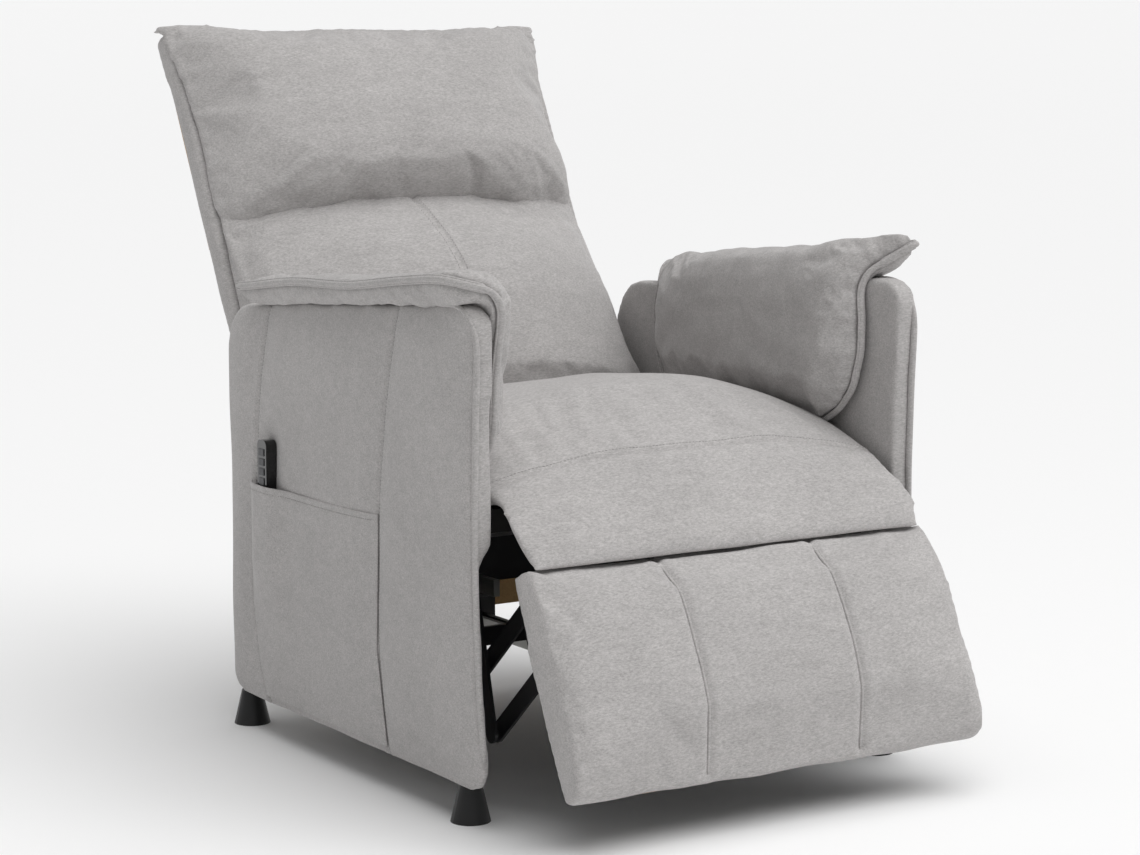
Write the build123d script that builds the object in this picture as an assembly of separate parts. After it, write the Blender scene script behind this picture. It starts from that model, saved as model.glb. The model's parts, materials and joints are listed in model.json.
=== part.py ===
from build123d import *
import math
import os

# Powered recliner armchair, modelled part reclined with the footrest part open.
# Millimetres. +Z up, the sitter faces -Y. While modelling, y = 0 lies midway
# between the front and the rear feet; every piece is shifted along y at the end
# so that the origin is under the middle of the whole chair, on the floor.

# ---- arms -------------------------------------------------------------------
ARMS_WIDTH = 640.0        # outer face to outer face of the two arms
ARM_FRONT = -338.0        # y of the arms' front edge
ARM_REAR = 307.0          # y of the arms' rear edge
ARM_TOP = 612.0           # height of the arm's top edge at its front
ARM_SLOPE = 4.6           # degrees that the top edge falls towards the rear
ARM_CORNER_FRONT = 38.0
ARM_CORNER_REAR = 80.0
ARM_CORNER_LOW = 25.0
COVER_T = 2.0             # fabric skin of the outer face
BOARD_T = 12.0            # plywood side board
INNER_PAD_T = 14.0        # padding on the inner face, above the side rail
INNER_PAD_BOTTOM = 315.0

# ---- armrest pads -----------------------------------------------------------
PAD_T = 40.0
PAD_FRONT = -360.0
PAD_REAR = 226.0
PAD_OVERHANG = 20.0       # past the arm's outer face
PAD_LIP = 12.0            # how far the outer edge hangs below the arm's top
DRAPE_T = 37.0            # thickness of the part that hangs inside the arm
DRAPE_BOTTOM = 443.0
DRAPE_FRONT_TOP = -325.0
DRAPE_FRONT_LOW = -225.0
DRAPE_REAR = 181.0

# ---- feet -------------------------------------------------------------------
FOOT_H = 45.0
FOOT_BOTTOM_D = 48.0
FOOT_TOP_D = 27.0
FOOT_Y = 286.0
FOOT_INSET = 19.0         # foot centre inside the arm's outer face
STUD_D = 8.0
STUD_IN_FOOT = 12.0
STUD_IN_BLOCK = 32.0
BLOCK_W = 16.5
BLOCK_L = 58.0
BLOCK_H = 60.0
BLOCK_FRONT = 12.0        # block edge in front of or behind the foot centre

# ---- seat box ---------------------------------------------------------------
SIDE_RAIL_T = 30.0
SIDE_RAIL_Z = (255.0, 315.0)
MECH_Y = (-245.0, 215.0)
MECH_Z = (250.0, 334.0)
PLATE_T = 4.0
FLANGE_W = 26.0
SEAT_RAIL_Z = (334.0, 362.0)
SEAT_RAIL_W = 36.0
SEAT_RAIL_OUT = 6.0       # seat rail inside the arm's inner padding
SEAT_FRONT_RAIL_Y = (-262.0, -226.0)
SEAT_REAR_RAIL_Y = (134.0, 164.0)
SEAT_RAIL_END = 250.0
CROSS_FRONT_Y = (-150.0, -128.0)
CROSS_FRONT_Z = (252.0, 306.0)
CARRIER_X = (236.0, 244.0)    # short flat bars fixed to the front of the front cross rail
CARRIER_Y = (-246.0, -150.0)
CARRIER_Z = (254.0, 274.0)
CROSS_REAR_Y = (262.0, 284.0)
CROSS_REAR_Z = (124.0, 205.0)
SKIRT_T = 3.0
SKIRT_Z = (124.0, 300.0)
BOLT_D = 8.0
BOLT_HEAD_D = 13.0
BOLT_HEAD_H = 5.0
BOLT_Z = 272.0
BOLT_Y = (-90.0, 40.0, 170.0)
SPRING_WIRE = 3.6
SEAT_SPRINGS = 5
SPRING_PITCH = 26.0
SPRING_SWING = 24.0

# ---- seat cushion -----------------------------------------------------------
SEAT_SIDE_GAP = 8.0
SEAT_CROWN = 478.0
SEAT_EDGE_Z = 425.0
SEAT_REAR = 128.0
CUSHION_Z = 368.0

# ---- footrest ---------------------------------------------------------------
LEG_PIVOT = (-332.0, 413.0)     # y, z of the axis that the linkage turns it about
LEG_TOP = (-395.0, 318.0)       # y, z of the front face's top edge, as modelled
LEG_TILT = 26.66                # degrees of the front face from vertical, as modelled
LEG_OPEN = 63.3                 # degrees from here to fully out
LEG_CLOSE = 26.6                # degrees from here to shut
LEG_LENGTH = 268.0
LEG_SIDE_GAP = 5.0
LEG_PAD_T = 28.0
LEG_CROWN = 18.0
LEG_BOARD_T = 12.0
LEG_BOARD_INSET = 7.0
DUST_T = 1.0
DUST_TOP = 122.0
FLAP_T = 12.7
FLAP_INSET = 13.0
FLAP_START = 12.0

# ---- footrest linkage: y, z points as modelled ------------------------------
Q1 = (-191.0, 286.0)            # upper fixed pivot
Q2 = (-226.0, 317.0)            # front fixed pivot
F1 = (-357.8, 267.7)            # upper pivot on the footrest bracket
F2 = (-386.6, 194.5)            # lower pivot on the footrest bracket
LINK_W = 22.0
LINK_T = 4.0
LINK_GAP = 1.5
PIN_D = 8.0
PIN_HEAD_D = 14.0
PIN_HEAD_T = 2.0
PIN_CLEAR = 0.05                # radial running clearance in every pivot
SIDE_CLEAR = 0.3                # between a link's face and a head or shoulder
TUBE_SIZE = 22.0
TUBE_WALL = 2.0
TUBE_AT = 0.6                   # share of the drive link's length from Q1
CRANK_R = 84.0
CRANK_LAG = 25.0                # degrees that the crank trails straight down
CRANK_X = -70.0
CRANK_PIN_D = 10.0
FORK_PLAY_LEG = 2.44
FORK_SHIFT_LEG = 2.44

# ---- drives -----------------------------------------------------------------
GUIDE_W = 22.0
GUIDE_H = 22.0
GUIDE_GROOVE = 8.0
LEG_GUIDE_Z = 136.0
LEG_GUIDE_Y = (-275.0, 90.0)
BACK_GUIDE_Z = 180.0
BACK_GUIDE_FRONT = 4.0
BACK_DRIVE_X = 70.0
CHEEK_T = 5.0
CHEEK_GAP = 12.0
FORK_WALL = 5.0
FORK_CLEAR = 0.4
FORK_PLAY_BACK = 0.74
FORK_SHIFT_BACK = 0.43
MOTOR_BOX = (60.0, 40.0, 60.0)
MOTOR_D = 50.0
MOTOR_L = 70.0
HANGER_T = 4.0

# ---- back -------------------------------------------------------------------
HINGE = (230.0, 350.0)          # y, z of the backrest hinge
BACK_TILT = 27.6                # degrees from vertical, as modelled
BACK_FORWARD = 14.0             # degrees from here to upright
BACK_RECLINE = 24.0             # degrees from here to fully back
POST_W = 22.0
POST_DEPTH = (-44.0, -22.0)     # rear and front faces of the back's wooden frame
POST_START = 22.0
BACK_LENGTH = 640.0
LOW_RAIL_U = (40.0, 80.0)
MID_RAIL_U = (330.0, 370.0)
TOP_RAIL_U = (590.0, 640.0)
BACK_EDGE_GAP = 4.0             # upper frame inside the arms' inner padding
BACK_SPRINGS = 4
BACK_CUSHION_GAP = 7.0          # lumbar cushion's bottom inside the armrest drape
BACK_CUSHION_U = (25.0, 350.0)
WIDE_U = 285.0                  # above this height the back may be wider
EDGE_HALF = 282.0                # half the width of the cushion's shallow sides
LUMBAR_CROWN = 112.0
PILLOW_HALF = 306.0
PILLOW_U = (360.0, 665.0)
PILLOW_CROWN = 52.0
CUSHION_BACK_V = -16.0
PANEL_T = 4.0
HINGE_PLATE_T = 4.0
HINGE_PIN_D = 10.0
HINGE_HEAD_D = 18.0
HINGE_HEAD_T = 2.2
HINGE_GAP = 0.5
LEVER_PIN = (-100.0, -33.0)     # u, v of the lever's lower pin

# ---- handset and pocket -----------------------------------------------------
POCKET_GAP = 18.0
POCKET_T = 2.0
POCKET_Y = (-98.0, 229.0)
POCKET_TOP = 340.0
HANDSET_T = 15.0
HANDSET_W = 25.0
HANDSET_L = 150.0
HANDSET_Y = 177.0
HANDSET_TOP = 397.0
HANDSET_AIR = 1.0
BUTTON_W = 13.0
BUTTON_H = 9.0
BUTTON_PITCH = 12.5
BUTTON_TOP = 16.0
BUTTON_RAISE = 1.2
BUTTON_DEPTH = 3.0
BUTTON_GAP = 0.25
BUTTON_TRAVEL = 1.0

# ---- electrics --------------------------------------------------------------
BOX_SIZE = (100.0, 50.0, 42.0)
BOX_X = -160.0
BOX_Z = 118.0
INLET_D = 12.0
INLET_FLANGE_D = 22.0
INLET_FLANGE_T = 2.0
INLET_BORE_D = 5.6
INLET_DEPTH = 14.0
INLET_PIN_D = 2.1

# ---- sideways stack, from the arm's outer face inwards -----------------------
HALF = ARMS_WIDTH / 2
BOARD_OUT = HALF - COVER_T
BOARD_IN = BOARD_OUT - BOARD_T
PAD_IN = BOARD_IN - INNER_PAD_T
DRAPE_IN = PAD_IN - DRAPE_T
RAIL_IN = BOARD_IN - SIDE_RAIL_T
PLATE_IN = RAIL_IN - PLATE_T
LOW_OUT = PLATE_IN - LINK_GAP
LOW_IN = LOW_OUT - LINK_T
HIGH_OUT = LOW_IN - SIDE_CLEAR - PIN_HEAD_T - LINK_GAP - 0.2
HIGH_IN = HIGH_OUT - LINK_T
SEAT_OUT = PAD_IN - SEAT_RAIL_OUT
SEAT_IN = SEAT_OUT - SEAT_RAIL_W
HINGE_BASE_IN = SEAT_IN - HINGE_PLATE_T
HINGE_BACK_OUT = HINGE_BASE_IN - HINGE_GAP
POST_OUT = HINGE_BACK_OUT - HINGE_PLATE_T
POST_IN = POST_OUT - POST_W
BACK_OUT = PAD_IN - BACK_EDGE_GAP
SEAT_HALF = PAD_IN - SEAT_SIDE_GAP
LEG_HALF = PAD_IN - LEG_SIDE_GAP
FOOT_X = HALF - FOOT_INSET


# ---- helpers ------------------------------------------------------------------
def block(x, y, z):
    """A box given by its low and high values along each axis."""
    size = (x[1] - x[0], y[1] - y[0], z[1] - z[0])
    middle = ((x[0] + x[1]) / 2, (y[0] + y[1]) / 2, (z[0] + z[1]) / 2)
    return Pos(*middle) * Box(*size)


def face_of(points, radii):
    """A closed outline, with the given points rounded."""
    face = make_face(Polyline(*points, close=True))
    for index, radius in radii.items():
        px, py = points[index]
        corner = min(face.vertices(), key=lambda v: (v.X - px) ** 2 + (v.Y - py) ** 2)
        face = fillet([corner], radius)
    return face


def prism_x(points, x, radii=None):
    """An outline in (y, z) extruded along x."""
    plane = Plane(origin=(x[0], 0, 0), x_dir=(0, 1, 0), z_dir=(1, 0, 0))
    return extrude(plane * face_of(points, radii or {}), x[1] - x[0])


def prism_y(points, y, radii=None):
    """An outline in (x, z) extruded along y."""
    plane = Plane(origin=(0, y[1], 0), x_dir=(1, 0, 0), z_dir=(0, -1, 0))
    return extrude(plane * face_of(points, radii or {}), y[1] - y[0])


def prism_z(points, z, radii=None):
    """An outline in (x, y) extruded along z."""
    plane = Plane(origin=(0, 0, z[0]))
    return extrude(plane * face_of(points, radii or {}), z[1] - z[0])


def rod_x(point, x, diameter):
    """A round bar along x through a (y, z) point."""
    plane = Plane(origin=(x[0], point[0], point[1]), x_dir=(0, 1, 0), z_dir=(1, 0, 0))
    return extrude(plane * Circle(diameter / 2), x[1] - x[0])


def rod_y(point, y, diameter):
    """A round bar along y through an (x, z) point."""
    plane = Plane(origin=(point[0], y[1], point[1]), x_dir=(1, 0, 0), z_dir=(0, -1, 0))
    return extrude(plane * Circle(diameter / 2), y[1] - y[0])


def bar(p, q, width, x):
    """A flat bar with round ends between two (y, z) points."""
    length = math.dist(p, q)
    angle = math.degrees(math.atan2(q[1] - p[1], q[0] - p[0]))
    middle = ((p[0] + q[0]) / 2, (p[1] + q[1]) / 2)
    plane = Plane(origin=(x[0], 0, 0), x_dir=(0, 1, 0), z_dir=(1, 0, 0))
    shape = Pos(*middle) * Rot(0, 0, angle) * SlotCenterToCenter(length, width)
    return extrude(plane * shape, x[1] - x[0])


def other_side(solid):
    """The same piece on the other side of the chair."""
    return mirror(solid, about=Plane.YZ)


def both(solid):
    return [solid, other_side(solid)]


def along(p, q, share):
    return (p[0] + share * (q[0] - p[0]), p[1] + share * (q[1] - p[1]))


def arm_top(y):
    return ARM_TOP - (y - ARM_FRONT) * math.tan(math.radians(ARM_SLOPE))


# Footrest frame: x as the chair's, y up the front face from its top edge, z out of it.
LEG_COS = math.cos(math.radians(LEG_TILT))
LEG_SIN = math.sin(math.radians(LEG_TILT))
LEG_PLANE = Plane(origin=(0, *LEG_TOP), x_dir=(1, 0, 0), z_dir=(0, -LEG_COS, LEG_SIN))


def leg_local(point):
    """A chair (y, z) point in the footrest frame."""
    dy = point[0] - LEG_TOP[0]
    dz = point[1] - LEG_TOP[1]
    return (dy * LEG_SIN + dz * LEG_COS, -dy * LEG_COS + dz * LEG_SIN)


# Back frame: x as the chair's, y up the back from the hinge (u), z forwards (v).
BACK_COS = math.cos(math.radians(BACK_TILT))
BACK_SIN = math.sin(math.radians(BACK_TILT))
BACK_PLANE = Plane(origin=(0, *HINGE), x_dir=(1, 0, 0), z_dir=(0, -BACK_COS, BACK_SIN))


def on_leg(solid):
    return LEG_PLANE.location * solid


def on_back(solid):
    return BACK_PLANE.location * solid


def back_point(u, v):
    """A (u, v) point of the back in chair (y, z)."""
    return (HINGE[0] + u * BACK_SIN - v * BACK_COS, HINGE[1] + u * BACK_COS + v * BACK_SIN)


def zigzag(length, swing, pitch, wire):
    """A sinuous wire spring lying along y, centred on x = 0, from y = 0."""
    count = max(4, 2 * round(length / pitch / 2))
    step = length / count
    points = [(0.0, 0.0, 0.0)]
    for i in range(1, count):
        side = swing if i % 2 else -swing
        points.append((side, (i - 0.3) * step, 0.0))
        points.append((side, (i + 0.3) * step, 0.0))
    points.append((0.0, length, 0.0))
    path = FilletPolyline(*points, radius=wire * 1.5)
    start = Plane(origin=path @ 0, z_dir=path % 0)
    return sweep(start * Circle(wire / 2), path=path)


# ---- arms -------------------------------------------------------------------
def arm_outline(low, front, rear, trim):
    """Side outline of an arm between its front and rear edges."""
    points = [
        (front, low),
        (rear, low),
        (rear, arm_top(rear) - trim),
        (front, arm_top(front) - trim),
    ]
    return points


ARM_RADII = {0: ARM_CORNER_LOW, 1: ARM_CORNER_LOW, 2: ARM_CORNER_REAR, 3: ARM_CORNER_FRONT}


def arm_pieces():
    outline = arm_outline(FOOT_H, ARM_FRONT, ARM_REAR, 0)
    board = prism_x(outline, (BOARD_IN, BOARD_OUT), ARM_RADII)
    for y in BOLT_Y:
        board -= rod_x((y, BOLT_Z), (BOARD_IN, BOARD_OUT - COVER_T), BOLT_D)
    cover = prism_x(outline, (BOARD_OUT, HALF), ARM_RADII)
    upper = arm_outline(INNER_PAD_BOTTOM, ARM_FRONT, ARM_REAR, 0)
    inner = prism_x(upper, (PAD_IN, BOARD_IN), {2: ARM_CORNER_REAR, 3: ARM_CORNER_FRONT})
    return board, cover, inner


def armrest_pad():
    """The pillow that lies over an arm and hangs down inside it."""
    front = (PAD_FRONT, arm_top(PAD_FRONT))
    rear = (PAD_REAR, arm_top(PAD_REAR))
    top = [front, rear, (rear[0], rear[1] + PAD_T), (front[0], front[1] + PAD_T)]
    pad = prism_x(top, (DRAPE_IN, HALF + PAD_OVERHANG), {2: PAD_T * 0.6, 3: PAD_T * 0.6})
    lip = [front, (front[0], front[1] - PAD_LIP), (rear[0], rear[1] - PAD_LIP), rear]
    pad += prism_x(lip, (HALF, HALF + PAD_OVERHANG))
    drape = [
        (DRAPE_FRONT_TOP, arm_top(DRAPE_FRONT_TOP)),
        (DRAPE_FRONT_LOW, DRAPE_BOTTOM),
        (DRAPE_REAR - DRAPE_T, DRAPE_BOTTOM),
        (DRAPE_REAR, DRAPE_BOTTOM + 1.5 * DRAPE_T),
        (DRAPE_REAR, arm_top(DRAPE_REAR)),
    ]
    return pad + prism_x(drape, (DRAPE_IN, PAD_IN))


def side_pocket():
    """A flat pocket on the left arm, open at the top."""
    outer = HALF + POCKET_GAP
    bottom = HANDSET_TOP - HANDSET_L - HANDSET_AIR - 2 * POCKET_T
    whole = block((-outer - POCKET_T, -HALF), (POCKET_Y[0] - POCKET_T, POCKET_Y[1] + POCKET_T),
                  (bottom, POCKET_TOP))
    space = block((-outer, -HALF), POCKET_Y, (bottom + 2 * POCKET_T, POCKET_TOP))
    return whole - space


# ---- feet -------------------------------------------------------------------
def foot_set():
    """Feet, studs and corner blocks, four of each."""
    feet = []
    studs = []
    blocks = []
    for end in (-1, 1):
        y = end * FOOT_Y
        bore = Pos(FOOT_X, y, FOOT_H - STUD_IN_FOOT / 2) * Cylinder(STUD_D / 2, STUD_IN_FOOT)
        cone = Pos(FOOT_X, y, FOOT_H / 2) * Cone(FOOT_BOTTOM_D / 2, FOOT_TOP_D / 2, FOOT_H)
        length = STUD_IN_FOOT + STUD_IN_BLOCK
        middle = FOOT_H + (STUD_IN_BLOCK - STUD_IN_FOOT) / 2
        stud = Pos(FOOT_X, y, middle) * Cylinder(STUD_D / 2, length)
        outer_edge = y + end * BLOCK_FRONT
        edges = sorted((outer_edge, outer_edge - end * BLOCK_L))
        corner = block((BOARD_IN - BLOCK_W, BOARD_IN), edges, (FOOT_H, FOOT_H + BLOCK_H))
        feet += both(cone - bore)
        studs += both(stud)
        blocks += both(corner - stud)
    return feet, studs, blocks


# ---- seat box ---------------------------------------------------------------
def frame_bolt(y):
    shaft = rod_x((y, BOLT_Z), (PLATE_IN, BOARD_OUT - COVER_T), BOLT_D)
    plane = Plane(origin=(PLATE_IN - BOLT_HEAD_H, y, BOLT_Z), x_dir=(0, 1, 0), z_dir=(1, 0, 0))
    head = extrude(plane * RegularPolygon(BOLT_HEAD_D / 2, 6), BOLT_HEAD_H)
    return shaft + head


def plate_pin(point):
    """A pivot pin riveted into the mechanism plate, with its head inside the link."""
    head_in = LOW_IN - SIDE_CLEAR - PIN_HEAD_T
    shaft = rod_x(point, (head_in, RAIL_IN), PIN_D)
    return shaft + rod_x(point, (head_in, head_in + PIN_HEAD_T), PIN_HEAD_D)


def mechanism_plate():
    """Pressed steel angle that carries the footrest linkage."""
    web = block((PLATE_IN, RAIL_IN), MECH_Y, MECH_Z)
    flange = block((RAIL_IN - FLANGE_W, RAIL_IN), MECH_Y, (MECH_Z[1] - PLATE_T, MECH_Z[1]))
    plate = web + flange
    for y in BOLT_Y:
        plate -= rod_x((y, BOLT_Z), (PLATE_IN, RAIL_IN), BOLT_D)
    return plate + plate_pin(Q1) + plate_pin(Q2)


def side_rail():
    rail = block((RAIL_IN, BOARD_IN), MECH_Y, SIDE_RAIL_Z)
    for y in BOLT_Y:
        rail -= rod_x((y, BOLT_Z), (RAIL_IN, BOARD_IN), BOLT_D)
    return rail


def rear_cross():
    """Rear rail between the arms with the fabric-covered board behind it."""
    inlet = rod_y((BOX_X, BOX_Z + BOX_SIZE[2] / 2), (CROSS_REAR_Y[0], CROSS_REAR_Y[1] + SKIRT_T), INLET_D)
    rail = block((-BOARD_IN, BOARD_IN), CROSS_REAR_Y, CROSS_REAR_Z) - inlet
    skirt = block((-BOARD_IN, BOARD_IN), (CROSS_REAR_Y[1], CROSS_REAR_Y[1] + SKIRT_T), SKIRT_Z)
    return rail, skirt - inlet


def seat_springs():
    length = SEAT_REAR_RAIL_Y[1] - SEAT_FRONT_RAIL_Y[0] - 16
    spacing = 2 * SEAT_IN / SEAT_SPRINGS
    springs = []
    for i in range(SEAT_SPRINGS):
        x = (i - (SEAT_SPRINGS - 1) / 2) * spacing
        wire = zigzag(length, SPRING_SWING, SPRING_PITCH, SPRING_WIRE)
        z = SEAT_RAIL_Z[1] + SPRING_WIRE / 2
        springs.append(Pos(x, SEAT_FRONT_RAIL_Y[0] + 8, z) * wire)
    return springs


def seat_cushion():
    """Crowned cushion: its side outline and its front outline cut one another."""
    side = [
        (SEAT_REAR, CUSHION_Z),
        (SEAT_REAR, SEAT_CROWN - 22),
        (SEAT_REAR - 50, SEAT_CROWN - 6),
        (-30, SEAT_CROWN),
        (-141, SEAT_CROWN - 10),
        (-222, SEAT_CROWN - 30),
        (-290, 424),
        (LEG_PIVOT[0] + 26, 412),
        (LEG_PIVOT[0] + 23, 392),
        (-296, CUSHION_Z + 4),
        (-262, CUSHION_Z),
    ]
    front = [
        (-SEAT_HALF, CUSHION_Z),
        (SEAT_HALF, CUSHION_Z),
        (SEAT_HALF, SEAT_EDGE_Z),
        (DRAPE_IN - 5, DRAPE_BOTTOM - 6),
        (DRAPE_IN - 75, SEAT_CROWN - 14),
        (0, SEAT_CROWN),
        (75 - DRAPE_IN, SEAT_CROWN - 14),
        (5 - DRAPE_IN, DRAPE_BOTTOM - 6),
        (-SEAT_HALF, SEAT_EDGE_Z),
    ]
    long = prism_x(side, (-SEAT_HALF, SEAT_HALF))
    return long & prism_y(front, (LEG_PIVOT[0], SEAT_REAR))


def hinge_plate():
    """Steel plate inside the seat rail, with the backrest's hinge pin."""
    plate = block((HINGE_BASE_IN, SEAT_IN), (HINGE[0] - 60, HINGE[0] + 16), (SEAT_RAIL_Z[0], SEAT_RAIL_Z[1] + 6))
    pin_in = POST_OUT - HINGE_GAP / 2 - HINGE_HEAD_T
    pin = rod_x(HINGE, (pin_in, HINGE_BASE_IN), HINGE_PIN_D)
    return plate + pin + rod_x(HINGE, (pin_in, pin_in + HINGE_HEAD_T), HINGE_HEAD_D)


# ---- footrest linkage ---------------------------------------------------------
# Each pair of links is a parallelogram: fixed pivot Q, knee K, bracket pivot F.
K1 = (Q1[0] + F1[0] - LEG_PIVOT[0], Q1[1] + F1[1] - LEG_PIVOT[1])
K2 = (Q2[0] + F2[0] - LEG_PIVOT[0], Q2[1] + F2[1] - LEG_PIVOT[1])
TUBE = along(Q1, K1, TUBE_AT)
LAG = math.radians(CRANK_LAG)
CRANK = (Q1[0] + CRANK_R * math.sin(LAG), Q1[1] - CRANK_R * math.cos(LAG))


def knee_pin(point):
    """Shouldered rivet that carries the inner link."""
    head_in = HIGH_IN - SIDE_CLEAR - PIN_HEAD_T
    shaft = rod_x(point, (head_in, LOW_OUT), PIN_D)
    shoulder = rod_x(point, (HIGH_OUT + SIDE_CLEAR, LOW_IN), PIN_HEAD_D - 1)
    return shaft + shoulder + rod_x(point, (head_in, head_in + PIN_HEAD_T), PIN_HEAD_D)


def low_link(q, k):
    """Outer link: a hole on the fixed pivot, a riveted pin at the knee."""
    link = bar(q, k, LINK_W, (LOW_IN, LOW_OUT))
    link -= rod_x(q, (LOW_IN, LOW_OUT), PIN_D + 2 * PIN_CLEAR)
    return link + knee_pin(k)


def high_link(k, f):
    """Inner link from the knee to the footrest bracket."""
    link = bar(k, f, LINK_W, (HIGH_IN, HIGH_OUT))
    for point in (k, f):
        link -= rod_x(point, (HIGH_IN, HIGH_OUT), PIN_D + 2 * PIN_CLEAR)
    return link


def torque_tube():
    """Square tube between the two drive links, with the crank welded to it."""
    angle = math.degrees(math.atan2(K1[1] - Q1[1], K1[0] - Q1[0]))
    plane = Plane(origin=(-LOW_IN, *TUBE), x_dir=(0, 1, 0), z_dir=(1, 0, 0))
    inner = TUBE_SIZE - 2 * TUBE_WALL
    section = Rot(0, 0, angle) * (Rectangle(TUBE_SIZE, TUBE_SIZE) - Rectangle(inner, inner))
    tube = extrude(plane * section, 2 * LOW_IN)
    crank_x = (CRANK_X - LINK_T / 2, CRANK_X + LINK_T / 2)
    solid_tube = extrude(plane * (Rot(0, 0, angle) * Rectangle(TUBE_SIZE, TUBE_SIZE)), 2 * LOW_IN)
    crank = bar(TUBE, CRANK, CRANK_PIN_D + 8, crank_x) - solid_tube
    reach = CHEEK_GAP / 2 + CHEEK_T + 2
    pin = rod_x(CRANK, (CRANK_X - reach, CRANK_X + reach), CRANK_PIN_D)
    return tube + crank + pin


# ---- footrest -----------------------------------------------------------------
def leg_board():
    half = LEG_HALF - LEG_BOARD_INSET
    rear = -LEG_PAD_T - LEG_BOARD_T
    return on_leg(block((-half, half), (-LEG_LENGTH, 0), (rear, -LEG_PAD_T)))


def leg_pad():
    """Padding of the footrest, crowned across its width."""
    outline = [
        (-LEG_HALF, -LEG_PAD_T),
        (LEG_HALF, -LEG_PAD_T),
        (LEG_HALF, 0),
        (LEG_HALF - 80, LEG_CROWN * 0.8),
        (LEG_HALF - 200, LEG_CROWN),
        (200 - LEG_HALF, LEG_CROWN),
        (80 - LEG_HALF, LEG_CROWN * 0.8),
        (-LEG_HALF, 0),
    ]
    return on_leg(prism_y(outline, (-LEG_LENGTH, 0)))


def dust_cover():
    """Thin black cloth behind the footrest, turned under its bottom edge."""
    rear = -LEG_PAD_T - LEG_BOARD_T
    half = HIGH_IN - 22
    sheet = block((-half, half), (-LEG_LENGTH - DUST_T, -DUST_TOP), (rear - DUST_T, rear))
    lip = block((-half, half), (-LEG_LENGTH - DUST_T, -LEG_LENGTH), (rear - DUST_T, -8))
    return on_leg(sheet + lip)


def leg_bracket():
    """Steel angle on the footrest board with the two bracket pins."""
    rear = -LEG_PAD_T - LEG_BOARD_T
    a = leg_local(F1)
    b = leg_local(F2)
    r = LINK_W / 2
    web = [
        (a[0] + r + 3, rear),
        (a[0] + r + 3, a[1] - 2),
        (a[0] + 5, a[1] - r),
        (b[0] + 5, b[1] - r),
        (b[0] - r, b[1] - 2),
        (b[0] - r - 2, rear),
    ]
    plate = prism_x(web, (LOW_IN, LOW_OUT))
    flange = block((HIGH_IN - 18, LOW_OUT), (b[0] - r - 2, a[0] + r + 3), (rear - PLATE_T, rear))
    return on_leg(plate + flange) + knee_pin(F1) + knee_pin(F2)


def chaise_flap():
    """Soft flap that fills the gap between the seat and the footrest."""
    half = LEG_HALF - FLAP_INSET
    pivot = leg_local(LEG_PIVOT)
    low = pivot[1] + 13.7 - FLAP_T
    return on_leg(block((-half, half), (0, pivot[0] - FLAP_START), (low, low + FLAP_T)))


# ---- drives -------------------------------------------------------------------
def guide(x, y, z):
    """Extruded aluminium guide rail with a groove along its top."""
    rail = block((x - GUIDE_W / 2, x + GUIDE_W / 2), y, (z, z + GUIDE_H))
    groove = block((x - GUIDE_GROOVE / 2, x + GUIDE_GROOVE / 2), y, (z + GUIDE_H / 2, z + GUIDE_H))
    return rail - groove


def carriage(x, pin, shift, play, rail_top, body_top):
    """Sliding nut block with two slotted cheeks round the driven pin."""
    y = pin[0] + shift
    half_slot = CRANK_PIN_D / 2 + play + FORK_CLEAR
    outer = CHEEK_GAP / 2 + CHEEK_T
    body_y = (y - half_slot - FORK_WALL - 3, y + half_slot + FORK_WALL + 3)
    base = rail_top + SIDE_CLEAR
    body = block((x - outer, x + outer), body_y, (base, body_top))
    key = GUIDE_GROOVE / 2 - SIDE_CLEAR
    body += block((x - key, x + key), body_y, (rail_top - GUIDE_H / 2 + 1, base))
    return body, y, half_slot, outer


def fork(x, y, half_slot, outer, body_top, slot_z):
    """The two cheeks, each with an upright slot."""
    wide = half_slot + FORK_WALL
    cheeks = block((x - outer, x + outer), (y - wide, y + wide), (body_top, slot_z[1] + FORK_WALL))
    cheeks -= block((x - CHEEK_GAP / 2, x + CHEEK_GAP / 2), (y - wide, y + wide), (body_top, slot_z[1] + FORK_WALL))
    cheeks -= block((x - outer, x + outer), (y - half_slot, y + half_slot), slot_z)
    return cheeks


def leg_carriage():
    top = LEG_GUIDE_Z + GUIDE_H
    body_top = Q1[1] - CRANK_R - CRANK_PIN_D - 4
    body, y, half, outer = carriage(CRANK_X, CRANK, -FORK_SHIFT_LEG, FORK_PLAY_LEG, top, body_top)
    low = Q1[1] - CRANK_R - CRANK_PIN_D / 2 - FORK_CLEAR
    angle = math.radians(LEG_CLOSE + CRANK_LAG)
    high = Q1[1] - CRANK_R * math.cos(angle) + CRANK_PIN_D / 2 + FORK_CLEAR
    return body + fork(CRANK_X, y, half, outer, body_top, (low, high))


def lever_point(turn):
    """Where the back lever's pin is when the back has turned by some degrees."""
    lean = math.radians(BACK_TILT + turn)
    u, v = LEVER_PIN
    y = HINGE[0] + u * math.sin(lean) - v * math.cos(lean)
    return (y, HINGE[1] + u * math.cos(lean) + v * math.sin(lean))


def back_carriage():
    top = BACK_GUIDE_Z + GUIDE_H
    heights = [lever_point(t)[1] for t in (-BACK_FORWARD, 0, BACK_RECLINE)]
    reach = CRANK_PIN_D / 2 + FORK_CLEAR
    low = min(heights) - reach - 1
    high = max(heights) + reach + 1
    pin = lever_point(0)
    body_top = low - CRANK_PIN_D
    body, y, half, outer = carriage(BACK_DRIVE_X, pin, FORK_SHIFT_BACK, FORK_PLAY_BACK, top, body_top)
    return body + fork(BACK_DRIVE_X, y, half, outer, body_top, (low, high))


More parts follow.
